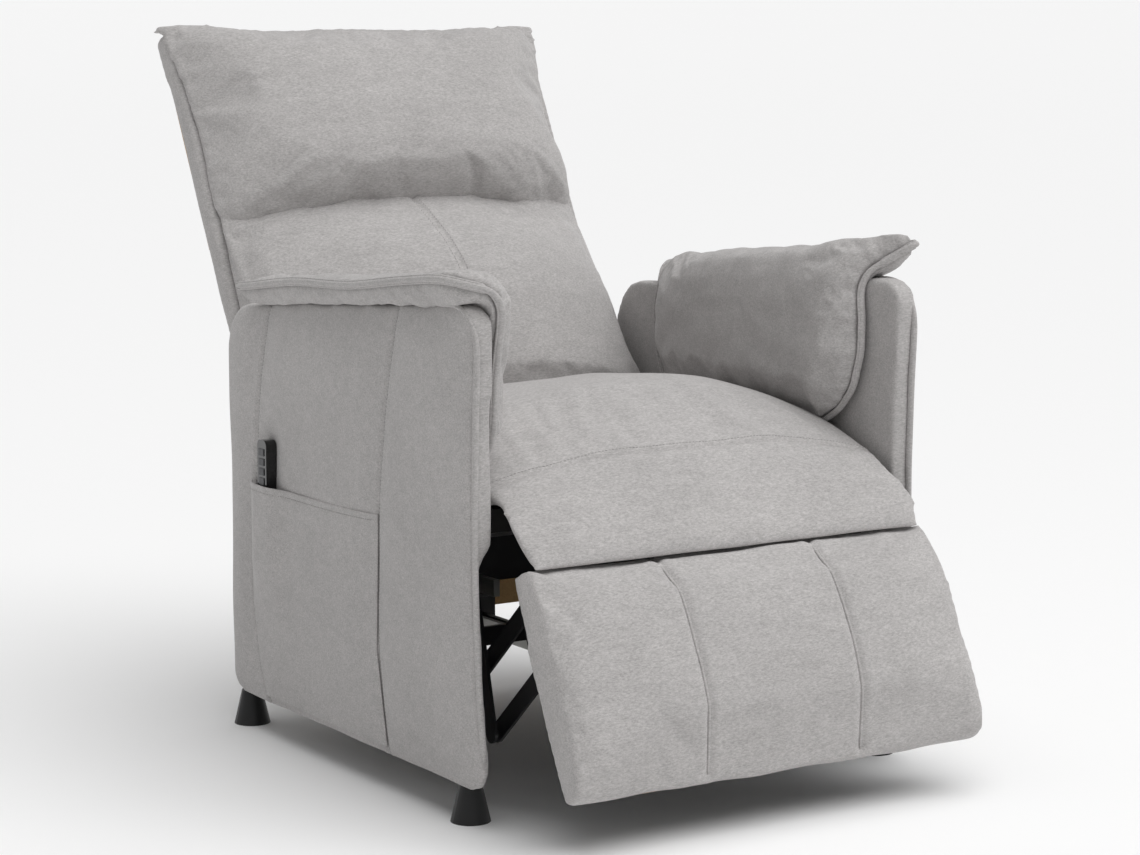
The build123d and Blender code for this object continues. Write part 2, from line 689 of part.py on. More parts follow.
def motor(x, box_y, z, end):
    """Gearbox with its motor, beyond the box in direction end."""
    w, length, h = MOTOR_BOX
    far = box_y + end * length
    edges = sorted((box_y, far))
    low = z + GUIDE_H / 2 - h / 2
    case = block((x - w / 2, x + w / 2), edges, (low, low + h))
    tip = sorted((far, far + end * MOTOR_L))
    return case + rod_y((x, z + GUIDE_H / 2), tip, MOTOR_D)


def hangers():
    """Steel straps that hang the two drives from the cross rails."""
    y = (CROSS_FRONT_Y[1], CROSS_FRONT_Y[1] + HANGER_T)
    side = CRANK_X + GUIDE_W / 2
    low = LEG_GUIDE_Z
    shape = [
        (side, low),
        (side + 30, low),
        (side + 30, CROSS_FRONT_Z[1]),
        (side + 8, CROSS_FRONT_Z[1]),
        (side + 8, low + GUIDE_H),
        (side, low + GUIDE_H),
    ]
    leg_front = prism_y(shape, y)
    rear = LEG_GUIDE_Y[1] + MOTOR_BOX[1] + MOTOR_L
    middle = LEG_GUIDE_Z + GUIDE_H / 2
    leg_rear = block((CRANK_X - 8, CRANK_X + 8), (rear, CROSS_REAR_Y[0]), (middle - 4, middle + 4))
    drop = BACK_GUIDE_Z + GUIDE_H / 2
    x = BACK_DRIVE_X
    back_front = block((x - 11, x + 11), y, (drop - 8, CROSS_FRONT_Z[1]))
    tip = BACK_GUIDE_FRONT - MOTOR_BOX[1] - MOTOR_L
    back_front += block((x - 6, x + 6), (y[1], tip), (drop - 6, drop + 6))
    return [leg_front, leg_rear, back_front]


# ---- back -----------------------------------------------------------------------
def back_posts():
    """Two inner posts from the hinge to the top, and two short outer stiles."""
    stile = block((BACK_OUT - POST_W, BACK_OUT), (MID_RAIL_U[1], TOP_RAIL_U[0]), POST_DEPTH)
    lower = block((POST_IN, POST_OUT), (POST_START, MID_RAIL_U[0]), POST_DEPTH)
    upper = block((POST_IN, POST_OUT), (MID_RAIL_U[1], TOP_RAIL_U[0]), POST_DEPTH)
    pieces = []
    for solid in (lower, upper, stile):
        pieces += both(on_back(solid))
    return pieces


def back_rail(half, u):
    return on_back(block((-half, half), u, POST_DEPTH))


def back_springs():
    length = MID_RAIL_U[1] - LOW_RAIL_U[0] - 16
    spacing = 2 * POST_IN / BACK_SPRINGS
    springs = []
    for i in range(BACK_SPRINGS):
        x = (i - (BACK_SPRINGS - 1) / 2) * spacing
        wire = zigzag(length, SPRING_SWING, SPRING_PITCH, SPRING_WIRE)
        springs.append(on_back(Pos(x, LOW_RAIL_U[0] + 8, POST_DEPTH[1] + SPRING_WIRE / 2) * wire))
    return springs


def back_cushion():
    """Lumbar cushion, narrow between the armrests and wider above them."""
    low, high = BACK_CUSHION_U
    narrow = DRAPE_IN - BACK_CUSHION_GAP
    wide = PAD_IN - 2
    side = [
        (low, CUSHION_BACK_V),
        (high, CUSHION_BACK_V),
        (high, LUMBAR_CROWN * 0.36),
        (high - 58, LUMBAR_CROWN * 0.7),
        (high - 102, LUMBAR_CROWN * 0.87),
        (high - 140, LUMBAR_CROWN * 0.98),
        (low + 35, LUMBAR_CROWN),
        (low, LUMBAR_CROWN * 0.8),
    ]
    plan = [
        (-narrow, low),
        (narrow, low),
        (wide, WIDE_U),
        (wide + 4, high),
        (-wide - 4, high),
        (-wide, WIDE_U),
    ]
    crown = [
        (-wide - 4, CUSHION_BACK_V),
        (wide + 4, CUSHION_BACK_V),
        (wide + 4, 5),
        (narrow + 2, 38),
        (narrow - 48, LUMBAR_CROWN * 0.68),
        (narrow - 128, LUMBAR_CROWN * 0.93),
        (0, LUMBAR_CROWN),
        (128 - narrow, LUMBAR_CROWN * 0.93),
        (48 - narrow, LUMBAR_CROWN * 0.68),
        (-narrow - 2, 38),
        (-wide - 4, 5),
    ]
    solid = prism_x(side, (-wide - 5, wide + 5))
    solid &= prism_z(plan, (CUSHION_BACK_V, LUMBAR_CROWN))
    solid &= prism_y(crown, (low, high))
    edge = [(low, CUSHION_BACK_V), (WIDE_U, CUSHION_BACK_V), (WIDE_U, 0), (221, 18), (110, 42), (low, 48)]
    return on_back(solid + prism_x(edge, (-EDGE_HALF, EDGE_HALF)))


def head_pillow():
    """Thick pad for the head, turned over the top rail."""
    low, high = PILLOW_U
    side = [
        (low, CUSHION_BACK_V),
        (low, PILLOW_CROWN * 0.7),
        (low + 60, PILLOW_CROWN),
        (high - 105, PILLOW_CROWN * 0.95),
        (high - 30, PILLOW_CROWN * 0.5),
        (high, -5),
        (high, POST_DEPTH[0]),
        (BACK_LENGTH + 2, POST_DEPTH[0]),
        (BACK_LENGTH + 2, CUSHION_BACK_V),
    ]
    crown = [
        (-PILLOW_HALF, POST_DEPTH[0]),
        (PILLOW_HALF, POST_DEPTH[0]),
        (PILLOW_HALF, -5),
        (PILLOW_HALF - 50, PILLOW_CROWN * 0.6),
        (PILLOW_HALF - 150, PILLOW_CROWN),
        (150 - PILLOW_HALF, PILLOW_CROWN),
        (50 - PILLOW_HALF, PILLOW_CROWN * 0.6),
        (-PILLOW_HALF, -5),
    ]
    solid = prism_x(side, (-PILLOW_HALF, PILLOW_HALF))
    return on_back(solid & prism_y(crown, (low, high)))


def back_bracket():
    """Steel plate on the outer face of a back post, turning on the hinge pin."""
    rear, front = POST_DEPTH
    shape = [
        (-14, 14),
        (-14, -14),
        (14, rear),
        (100, rear),
        (100, front),
        (20, front),
        (12, 14),
    ]
    plate = prism_x(shape, (POST_OUT, HINGE_BACK_OUT), {0: 10, 1: 10})
    hole = rod_x((0, 0), (POST_OUT, HINGE_BACK_OUT), HINGE_PIN_D + 2 * PIN_CLEAR)
    return on_back(plate - hole)


def back_lever():
    """Lever under the back's lower rail that the back drive pushes."""
    x = (BACK_DRIVE_X - LINK_T / 2, BACK_DRIVE_X + LINK_T / 2)
    top = LOW_RAIL_U[0]
    plate = bar(LEVER_PIN, (top - 14, LEVER_PIN[1]), LINK_W, x)
    plate &= block((x[0], x[1]), (LEVER_PIN[0] - LINK_W, top), (LEVER_PIN[1] - LINK_W, LEVER_PIN[1] + LINK_W))
    foot = block((x[0] - 13, x[1] + 13), (top - PLATE_T, top), POST_DEPTH)
    reach = CHEEK_GAP / 2 + CHEEK_T + 2
    pin = rod_x(LEVER_PIN, (BACK_DRIVE_X - reach, BACK_DRIVE_X + reach), CRANK_PIN_D)
    return on_back(plate + foot + pin)


# ---- handset ----------------------------------------------------------------------
HANDSET_IN = HALF + (POCKET_GAP - HANDSET_T - BUTTON_RAISE) / 2
HANDSET_OUT = HANDSET_IN + HANDSET_T


def button_spots():
    """Middles of the four buttons as (y, z), one above the other, named by what they do."""
    names = ("button_back_up", "button_back_down", "button_legrest_up", "button_legrest_down")
    top = HANDSET_TOP - BUTTON_TOP
    return {name: (HANDSET_Y, top - number * BUTTON_PITCH) for number, name in enumerate(names)}


def handset():
    """Handset case with a well under each button."""
    y = (HANDSET_Y - HANDSET_W / 2, HANDSET_Y + HANDSET_W / 2)
    z = (HANDSET_TOP - HANDSET_L, HANDSET_TOP)
    outline = [(y[0], z[0]), (y[1], z[0]), (y[1], z[1]), (y[0], z[1])]
    case = prism_x(outline, (-HANDSET_OUT, -HANDSET_IN), {0: 4, 1: 4, 2: 8, 3: 8})
    depth = BUTTON_DEPTH + BUTTON_TRAVEL
    for spot in button_spots().values():
        case -= button_block(spot, BUTTON_GAP, (-HANDSET_OUT, -HANDSET_OUT + depth))
    return case


def button_block(spot, grow, x):
    half_w = BUTTON_W / 2 + grow
    half_h = BUTTON_H / 2 + grow
    return block(x, (spot[0] - half_w, spot[0] + half_w), (spot[1] - half_h, spot[1] + half_h))


def buttons():
    depth = (-HANDSET_OUT - BUTTON_RAISE, -HANDSET_OUT + BUTTON_DEPTH)
    return {name: button_block(spot, 0, depth) for name, spot in button_spots().items()}


# ---- electrics ----------------------------------------------------------------------
def control_box():
    w, d, h = BOX_SIZE
    return block((BOX_X - w / 2, BOX_X + w / 2), (CROSS_REAR_Y[0] - d, CROSS_REAR_Y[0]), (BOX_Z, BOX_Z + h))


def power_inlet():
    """Round direct-current socket through the rear rail."""
    spot = (BOX_X, BOX_Z + BOX_SIZE[2] / 2)
    face = CROSS_REAR_Y[1] + SKIRT_T
    mouth = face + INLET_FLANGE_T
    body = rod_y(spot, (CROSS_REAR_Y[0], face), INLET_D)
    body += rod_y(spot, (face, mouth), INLET_FLANGE_D)
    body -= rod_y(spot, (mouth - INLET_DEPTH, mouth), INLET_BORE_D)
    return body + rod_y(spot, (mouth - INLET_DEPTH, mouth - 2), INLET_PIN_D)


# ---- the chair ------------------------------------------------------------------------
def base_nodes():
    board, cover, inner = arm_pieces()
    pad = armrest_pad()
    feet, studs, blocks = foot_set()
    rail, skirt = rear_cross()
    seat_rail = block((SEAT_IN, SEAT_OUT), (SEAT_FRONT_RAIL_Y[0], SEAT_RAIL_END), SEAT_RAIL_Z)
    leg_motor_y = LEG_GUIDE_Y[1]
    return {
        "side_board_left": [other_side(board)],
        "side_board_right": [board],
        "side_cover_left": [other_side(cover)],
        "side_cover_right": [cover],
        "arm_inner_pads": both(inner),
        "armrest_pad_left": [other_side(pad)],
        "armrest_pad_right": [pad],
        "side_pocket": [side_pocket()],
        "feet": feet,
        "foot_studs": studs,
        "foot_blocks": blocks,
        "base_side_rails": both(side_rail()),
        "mechanism_plates": both(mechanism_plate()),
        "frame_bolts": [s for y in BOLT_Y for s in both(frame_bolt(y))],
        "front_cross_rail": [block((-PLATE_IN, PLATE_IN), CROSS_FRONT_Y, CROSS_FRONT_Z)],
        "carrier_rails": both(block(CARRIER_X, CARRIER_Y, CARRIER_Z)),
        "rear_cross_rail": [rail],
        "rear_skirt": [skirt],
        "seat_side_rails": both(seat_rail),
        "seat_front_rail": [block((-SEAT_IN, SEAT_IN), SEAT_FRONT_RAIL_Y, SEAT_RAIL_Z)],
        "seat_rear_rail": [block((-SEAT_IN, SEAT_IN), SEAT_REAR_RAIL_Y, SEAT_RAIL_Z)],
        "seat_springs": seat_springs(),
        "seat_cushion": [seat_cushion()],
        "back_hinge_plates": both(hinge_plate()),
        "legrest_guide_rail": [guide(CRANK_X, LEG_GUIDE_Y, LEG_GUIDE_Z)],
        "legrest_motor": [motor(CRANK_X, leg_motor_y, LEG_GUIDE_Z, 1)],
        "back_guide_rail": [guide(BACK_DRIVE_X, (BACK_GUIDE_FRONT, CROSS_REAR_Y[0]), BACK_GUIDE_Z)],
        "back_motor": [motor(BACK_DRIVE_X, BACK_GUIDE_FRONT, BACK_GUIDE_Z, -1)],
        "drive_hangers": hangers(),
        "control_box": [control_box()],
        "power_inlet": [power_inlet()],
    }


def moving_nodes():
    nodes = {
        "legrest_board": [leg_board()],
        "legrest_pad": [leg_pad()],
        "legrest_brackets": both(leg_bracket()),
        "legrest_dust_cover": [dust_cover()],
        "chaise_flap": [chaise_flap()],
        "drive_links": both(low_link(Q1, K1)),
        "torque_tube": [torque_tube()],
        "upper_front_links": both(high_link(K1, F1)),
        "lower_rear_links": both(low_link(Q2, K2)),
        "lower_front_links": both(high_link(K2, F2)),
        "legrest_carriage": [leg_carriage()],
        "back_carriage": [back_carriage()],
        "back_posts": back_posts(),
        "back_lower_rail": [back_rail(POST_IN, LOW_RAIL_U)],
        "back_mid_rail": [back_rail(BACK_OUT, MID_RAIL_U)],
        "back_top_rail": [back_rail(BACK_OUT, TOP_RAIL_U)],
        "back_springs": back_springs(),
        "back_cushion": [back_cushion()],
        "head_pillow": [head_pillow()],
        "back_rear_panel": [on_back(block((-BACK_OUT, BACK_OUT), (5, BACK_LENGTH),
                                          (POST_DEPTH[0] - PANEL_T, POST_DEPTH[0])))],
        "back_hinge_brackets": both(back_bracket()),
        "back_lever": [back_lever()],
        "handset_case": [handset()],
    }
    nodes.update({name: [solid] for name, solid in buttons().items()})
    return nodes


def all_nodes():
    nodes = base_nodes()
    nodes.update(moving_nodes())
    return nodes


def shift_y(nodes):
    """How far everything moves so that the origin is under the chair's middle."""
    boxes = [s.bounding_box() for solids in nodes.values() for s in solids]
    low = min(b.min.Y for b in boxes)
    high = max(b.max.Y for b in boxes)
    return -(low + high) / 2


def write_parts():
    os.makedirs("parts", exist_ok=True)
    nodes = all_nodes()
    move = Pos(0, shift_y(nodes), 0)
    for name, solids in nodes.items():
        moved = [move * s for s in solids]
        shape = moved[0] if len(moved) == 1 else Compound(children=moved)
        export_step(shape, f"parts/{name}.step")
    print("nodes", len(nodes), "shift along y", round(shift_y(nodes), 3))


if __name__ == "__main__":
    write_parts()
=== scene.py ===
import bpy
import bmesh
import json
import math
import numpy as np
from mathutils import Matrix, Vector, noise
from mathutils.bvhtree import BVHTree
from mathutils.kdtree import KDTree


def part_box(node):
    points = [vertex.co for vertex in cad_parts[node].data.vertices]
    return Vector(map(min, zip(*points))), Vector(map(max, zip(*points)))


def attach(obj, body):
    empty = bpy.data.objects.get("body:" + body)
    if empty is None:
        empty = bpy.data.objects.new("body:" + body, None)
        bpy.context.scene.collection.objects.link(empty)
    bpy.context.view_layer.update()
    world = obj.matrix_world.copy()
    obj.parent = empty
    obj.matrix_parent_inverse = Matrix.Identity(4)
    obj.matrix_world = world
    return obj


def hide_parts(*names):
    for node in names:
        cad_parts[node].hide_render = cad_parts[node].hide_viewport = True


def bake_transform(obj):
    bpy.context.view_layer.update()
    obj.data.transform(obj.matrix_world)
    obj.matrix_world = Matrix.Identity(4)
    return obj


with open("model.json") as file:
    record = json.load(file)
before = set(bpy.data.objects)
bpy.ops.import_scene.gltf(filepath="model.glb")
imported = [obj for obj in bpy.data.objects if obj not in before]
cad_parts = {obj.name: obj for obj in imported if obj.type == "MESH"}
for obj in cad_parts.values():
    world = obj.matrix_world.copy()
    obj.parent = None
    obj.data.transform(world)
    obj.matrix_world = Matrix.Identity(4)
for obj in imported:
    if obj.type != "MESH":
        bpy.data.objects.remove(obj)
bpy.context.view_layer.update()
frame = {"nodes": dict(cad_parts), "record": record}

# ---------------------------------------------------------------------------
# Arms: a plywood board wrapped in thin foam and fabric. The outer face is sewn
# from three panels that puff up between two upright seams; the front edge has
# a flat welt. Sizes in mm from the middle of the feet; the arm is 27 mm thick
# above the side rail and 13 mm below it.
# ---------------------------------------------------------------------------
# Brushed polyester suede: light warm grey and matt. Its short nap lies in darker
# and lighter strokes, over a fine knit of about 1 mm (drawn at 1.3 mm so that it
# shows). The clouds are the slow change of shade across a large panel.
FABRIC_LIGHT = "BDBAB9"
FABRIC_MID = "B0ADAC"
FABRIC_DARK = "A19F9D"
KNIT_MM = 1.3
NAP_MM = 2.2
STROKE_MM = 16.0
CLOUD_MM = 130.0


def linear(text):
    """A screen colour as linear red, green, blue, alpha."""
    values = [int(text[i:i + 2], 16) / 255 for i in (0, 2, 4)]
    return [v / 12.92 if v <= 0.04045 else ((v + 0.055) / 1.055) ** 2.4 for v in values] + [1.0]


def add(tree, kind, links=None, **settings):
    """A node with its settings; links are input name or number -> socket, or a value."""
    node = tree.nodes.new(kind)
    for key, value in settings.items():
        setattr(node, key, value)
    for key, value in (links or {}).items():
        if isinstance(value, bpy.types.NodeSocket):
            tree.links.new(value, node.inputs[key])
        else:
            node.inputs[key].default_value = value
    return node


def new_material(name):
    material = bpy.data.materials.new(name)
    material.use_nodes = True
    tree = material.node_tree
    tree.nodes.clear()
    return material, tree


def finish_material(tree, surface):
    add(tree, "ShaderNodeOutputMaterial", {"Surface": surface.outputs[0]})


def fabric_material(name, light, mid, dark, sheen):
    material, tree = new_material(name)
    place = add(tree, "ShaderNodeTexCoord").outputs["Object"]
    turned = add(tree, "ShaderNodeMapping", {"Vector": place, "Rotation": (0.5, 0.3, 0.6),
                                             "Scale": (0.45, 1, 1.4)})
    knit = add(tree, "ShaderNodeTexNoise", {"Vector": place, "Scale": 1000 / KNIT_MM, "Detail": 2.0,
                                            "Roughness": 0.6})
    nap = add(tree, "ShaderNodeTexNoise", {"Vector": turned.outputs[0], "Scale": 1000 / NAP_MM, "Detail": 3.0,
                                           "Roughness": 0.65, "Distortion": 0.5})
    stroke = add(tree, "ShaderNodeTexNoise", {"Vector": turned.outputs[0], "Scale": 1000 / STROKE_MM, "Detail": 4.0,
                                              "Roughness": 0.62, "Distortion": 0.8})
    cloud = add(tree, "ShaderNodeTexNoise", {"Vector": place, "Scale": 1000 / CLOUD_MM, "Detail": 2.0})
    flecks = add(tree, "ShaderNodeValToRGB", {"Fac": nap.outputs["Fac"]})
    flecks.color_ramp.elements[0].position = 0.34
    flecks.color_ramp.elements[0].color = linear(dark)
    flecks.color_ramp.elements[1].position = 0.66
    flecks.color_ramp.elements[1].color = linear(light)
    flecks.color_ramp.elements.new(0.5).color = linear(mid)
    brushed = add(tree, "ShaderNodeMapRange", {"Value": stroke.outputs["Fac"], "From Min": 0.3, "From Max": 0.7,
                                               "To Min": 0.93, "To Max": 1.06})
    shade = add(tree, "ShaderNodeMapRange", {"Value": cloud.outputs["Fac"], "From Min": 0.3, "From Max": 0.7,
                                             "To Min": 0.96, "To Max": 1.04})
    specks = add(tree, "ShaderNodeMapRange", {"Value": knit.outputs["Fac"], "From Min": 0.3, "From Max": 0.7,
                                              "To Min": 0.91, "To Max": 1.08})
    marks = add(tree, "ShaderNodeMath", {0: shade.outputs[0], 1: specks.outputs[0]}, operation="MULTIPLY")
    both = add(tree, "ShaderNodeMath", {0: marks.outputs[0], 1: brushed.outputs[0]}, operation="MULTIPLY")
    colour = add(tree, "ShaderNodeVectorMath", {0: flecks.outputs["Color"], "Scale": both.outputs[0]},
                 operation="SCALE")
    height = add(tree, "ShaderNodeMath", {0: knit.outputs["Fac"], 1: nap.outputs["Fac"]}, operation="ADD")
    bump = add(tree, "ShaderNodeBump", {"Height": height.outputs[0], "Strength": 0.16, "Distance": 0.0007})
    surface = add(tree, "ShaderNodeBsdfPrincipled", {"Base Color": colour.outputs[0], "Roughness": 0.92,
                                                     "Normal": bump.outputs[0], "Sheen Weight": sheen,
                                                     "Sheen Roughness": 0.45, "Specular IOR Level": 0.25})
    finish_material(tree, surface)
    return material


suede = fabric_material("suede_fabric", FABRIC_LIGHT, FABRIC_MID, FABRIC_DARK, 0.25)
# Spun polyester thread, a shade darker than the fabric, with hardly any sheen.
thread = fabric_material("sewing_thread", "A6A4A3", "9A9896", "8D8B8A", 0.1)

feet_low, feet_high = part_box("feet")
SHIFT_Y = (feet_low.y + feet_high.y) / 2
ARM_X = 319.0
ARM_HIGH = 612.0
ARM_FRONT_Y = -338.0
ARM_FALL = math.radians(4.6)
ARM_LOW = 45.0
ARM_IN_HIGH = 292.0
ARM_IN_LOW = 306.0
NOTCH_Z = 315.0
ARM_REAR_Y = 306.0
ARM_PUFF = 9.0
ARM_FRONT_EDGE = [(45, -340), (79, -344), (166, -333), (270, -326), (370, -324), (480, -327), (597, -334)]
REAR_SEAM = [(575, 182), (569, 184), (443, 216), (337, 228), (177, 234), (99, 219), (50, 197)]
FRONT_SEAM = [(600, -153), (597, -152), (456, -117), (332, -103), (171, -97), (50, -122)]
VOXEL = 0.0065
HANDSET_Y = 177.0
HANDSET_Z = 322.0
HANDSET_HALF = 14.0


def at(x, y, z):
    """A point given in mm from the middle of the feet, in metres."""
    return Vector((x / 1000, y / 1000 + SHIFT_Y, z / 1000))


def lerp(a, b, t):
    return a + (b - a) * t


def table_at(rows, key):
    """Value of a table of (key, value) rows at a key, on a straight line between its rows."""
    rows = sorted(rows)
    keys = [r[0] for r in rows]
    return float(np.interp(key, keys, [r[1] for r in rows]))


def arm_top(y):
    """Height of the arm's top edge, which falls towards the back."""
    return ARM_HIGH - (y - ARM_FRONT_Y) * math.tan(ARM_FALL)


def round_corner(y, z, centre, radius, way):
    """Pulls a point that lies outside a rounded corner onto its arc."""
    dy, dz = (y - centre[0]) * way[0], (z - centre[1]) * way[1]
    if dy > 0 and dz > 0 and math.hypot(dy, dz) > radius:
        scale = radius / math.hypot(dy, dz)
        return centre[0] + way[0] * dy * scale, centre[1] + way[1] * dz * scale
    return y, z


def mesh_object(name, verts, faces):
    mesh = bpy.data.meshes.new(name)
    mesh.from_pydata([tuple(v) for v in verts], [], faces)
    shape = bmesh.new()
    shape.from_mesh(mesh)
    bmesh.ops.remove_doubles(shape, verts=shape.verts, dist=1e-6)
    bmesh.ops.recalc_face_normals(shape, faces=shape.faces)
    shape.to_mesh(mesh)
    shape.free()
    piece = bpy.data.objects.new(name, mesh)
    bpy.context.scene.collection.objects.link(piece)
    return piece


def slab(name, front, back):
    """A closed skin between two grids of points of the same size."""
    rows, columns = len(front), len(front[0])
    verts = [p for row in front for p in row] + [p for row in back for p in row]
    far = rows * columns
    faces = []
    for i in range(rows - 1):
        for j in range(columns - 1):
            a = i * columns + j
            faces.append((a, a + 1, a + columns + 1, a + columns))
            faces.append((far + a, far + a + columns, far + a + columns + 1, far + a + 1))
    rim = [j for j in range(columns - 1)]
    rim += [i * columns + columns - 1 for i in range(rows - 1)]
    rim += [(rows - 1) * columns + j for j in range(columns - 1, 0, -1)]
    rim += [i * columns for i in range(rows - 1, 0, -1)]
    for k, a in enumerate(rim):
        b = rim[(k + 1) % len(rim)]
        faces.append((a, far + a, far + b, b))
    return mesh_object(name, verts, faces)


def settle(piece):
    """Applies a piece's modifiers to its mesh."""
    graph = bpy.context.evaluated_depsgraph_get()
    mesh = bpy.data.meshes.new_from_object(piece.evaluated_get(graph))
    piece.modifiers.clear()
    piece.data = mesh
    return piece


def remesh(piece, voxel, smooth=6):
    mod = piece.modifiers.new("Remesh", "REMESH")
    mod.mode = "VOXEL"
    mod.voxel_size = voxel
    mod = piece.modifiers.new("Smooth", "SMOOTH")
    mod.factor = 0.5
    mod.iterations = smooth
    return settle(piece)


def coords(piece):
    flat = np.empty(len(piece.data.vertices) * 3, np.float64)
    piece.data.vertices.foreach_get("co", flat)
    return flat.reshape(-1, 3)


def set_coords(piece, points):
    piece.data.vertices.foreach_set("co", np.asarray(points, np.float64).ravel())
    piece.data.update()


def subdivide(piece):
    mod = piece.modifiers.new("Subdivision", "SUBSURF")
    mod.levels = 1
    mod.render_levels = 1
    return settle(piece)


def normals(piece):
    return np.array([v.normal for v in piece.data.vertices], float)


def dense(points, step=0.002):
    """Points along a polyline, a step apart."""
    out = []
    for a, b in zip(points, points[1:]):
        count = max(1, int((b - a).length / step))
        out += [a.lerp(b, k / count) for k in range(count)]
    return out + [points[-1]]


def smooth_line(points, passes=40):
    """Evens out a dense line without moving its ends."""
    line = np.array([tuple(p) for p in points])
    for _ in range(passes):
        line[1:-1] = line[1:-1] * 0.5 + (line[:-2] + line[2:]) * 0.25
    return [Vector(p) for p in line]


def groove(piece, line, width, depth, ridge=0.0):
    """Presses a seam into a piece: a valley along the line, with an optional puffed shoulder."""
    tree = KDTree(len(line))
    for i, p in enumerate(line):
        tree.insert(p, i)
    tree.balance()
    points, up = coords(piece), normals(piece)
    away = np.array([tree.find(Vector(p))[2] for p in points])
    push = -depth * np.exp(-(away / width) ** 2) + ridge * np.exp(-((away - 2.4 * width) / (1.3 * width)) ** 2)
    set_coords(piece, points + up * push[:, None])
    return piece


def surface_tree(*pieces_used):
    graph = bpy.context.evaluated_depsgraph_get()
    shape = bmesh.new()
    for piece in pieces_used:
        shape.from_mesh(piece.data)
    tree = BVHTree.FromBMesh(shape)
    shape.free()
    return tree


def cast(tree, points, direction, lift=0.0):
    """Drops points onto a surface along a direction, and lifts them off it."""
    out = []
    way = Vector(direction).normalized()
    for p in points:
        hit, normal, _, _ = tree.ray_cast(p - way * 0.5, way)
        if hit is not None:
            out.append(hit + normal * lift)
    return out


def tube(name, line, radius, flat=1.0, up=None):
    """A round or flattened welt along a line."""
    sides = 8
    verts, faces = [], []
    count = len(line)
    for i, p in enumerate(line):
        ahead = (line[min(i + 1, count - 1)] - line[max(i - 1, 0)]).normalized()
        out = up[i] if up else Vector((0.3, 0.2, 1.0))
        side = ahead.cross(out).normalized()
        rise = side.cross(ahead).normalized()
        end = min(1.0, 0.25 + 0.75 * min(i, count - 1 - i) / 3)
        for k in range(sides):
            a = 2 * math.pi * k / sides
            verts.append(p + side * (math.cos(a) * radius * end) + rise * (math.sin(a) * radius * flat * end))
    for i in range(count - 1):
        for k in range(sides):
            a, b = i * sides + k, i * sides + (k + 1) % sides
            faces.append((a, b, b + sides, a + sides))
    faces.append(tuple(range(sides)))
    faces.append(tuple((count - 1) * sides + k for k in range(sides)))
    return mesh_object(name, verts, faces)


def stitches(name, lines, tree, direction, pitch=0.0046, length=0.0034, radius=0.00042):
    """A row of short thread stitches lying on a surface."""
    verts, faces = [], []
    way = Vector(direction).normalized()
    for line in lines:
        run, nodes = 0.0, dense(line, 0.0006)
        for a, b in zip(nodes, nodes[1:]):
            run += (b - a).length
            if run < pitch:
                continue
            run = 0.0
            ahead = (b - a).normalized()
            hit, normal, _, _ = tree.ray_cast(a - way * 0.5, way)
            if hit is None:
                continue
            side = ahead.cross(normal).normalized()
            first = len(verts)
            for along, size in ((-0.5, 0.35), (-0.3, 1.0), (0.3, 1.0), (0.5, 0.35)):
                middle = hit + ahead * (along * length) + normal * (radius * 0.5 * size)
                for k in range(6):
                    c, s = math.cos(k * math.pi / 3), math.sin(k * math.pi / 3)
                    verts.append(middle + side * (c * radius * size) + normal * (s * radius * size))
            for r in range(3):
                for k in range(6):
                    p, q = first + r * 6 + k, first + r * 6 + (k + 1) % 6
                    faces.append((p, q, q + 6, p + 6))
            faces.append(tuple(first + k for k in range(6)))
            faces.append(tuple(first + 18 + k for k in range(6)))
    mesh = bpy.data.meshes.new(name)
    mesh.from_pydata([tuple(v) for v in verts], [], faces)
    piece = bpy.data.objects.new(name, mesh)
    bpy.context.scene.collection.objects.link(piece)
    return piece


def dress(piece, material, body):
    piece.data.materials.clear()
    piece.data.materials.append(material)
    for face in piece.data.polygons:
        face.use_smooth = True
    if body:
        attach(piece, body)
    return piece


def wrinkle(piece, amount, scale, where=None, seed=0.0):
    """Small soft folds in the skin, along its normals."""
    points, up = coords(piece), normals(piece)
    shift = Vector((seed, seed * 1.7, -seed))
    push = np.array([noise.noise(Vector(p) * scale + shift) for p in points]) * amount
    if where is not None:
        push *= np.array([where(p) for p in points])
    set_coords(piece, points + up * push[:, None])
    return piece


def near_line(points, y, z):
    """Distance in mm from (y, z) to a polyline of (z, y) rows."""
    best = 1e9
    for (z0, y0), (z1, y1) in zip(points, points[1:]):
        dy, dz = y1 - y0, z1 - z0
        t = max(0.0, min(1.0, ((y - y0) * dy + (z - z0) * dz) / (dy * dy + dz * dz)))
        best = min(best, math.hypot(y - y0 - t * dy, z - z0 - t * dz))
    return best


def handset_room(y, z):
    """1 where the handset stands against the left arm, 0 away from it."""
    dy = max(0.0, abs(y - HANDSET_Y) - HANDSET_HALF)
    dz = max(0.0, abs(z - HANDSET_Z) - 78.0)
    return math.exp(-(math.hypot(dy, dz) / 14.0) ** 2)


def arm_puff(y, z, side):
    edge = min(y + 330, ARM_REAR_Y - y, z - ARM_LOW, arm_top(y) - z)
    d = max(0.0, min(near_line(REAR_SEAM, y, z), near_line(FRONT_SEAM, y, z), edge))
    high = ARM_PUFF * (1 - math.exp(-d / 30.0))
    if side < 0:
        high *= 1 - handset_room(y, z)
        high += 1.5 * handset_room(y, z)
    return high


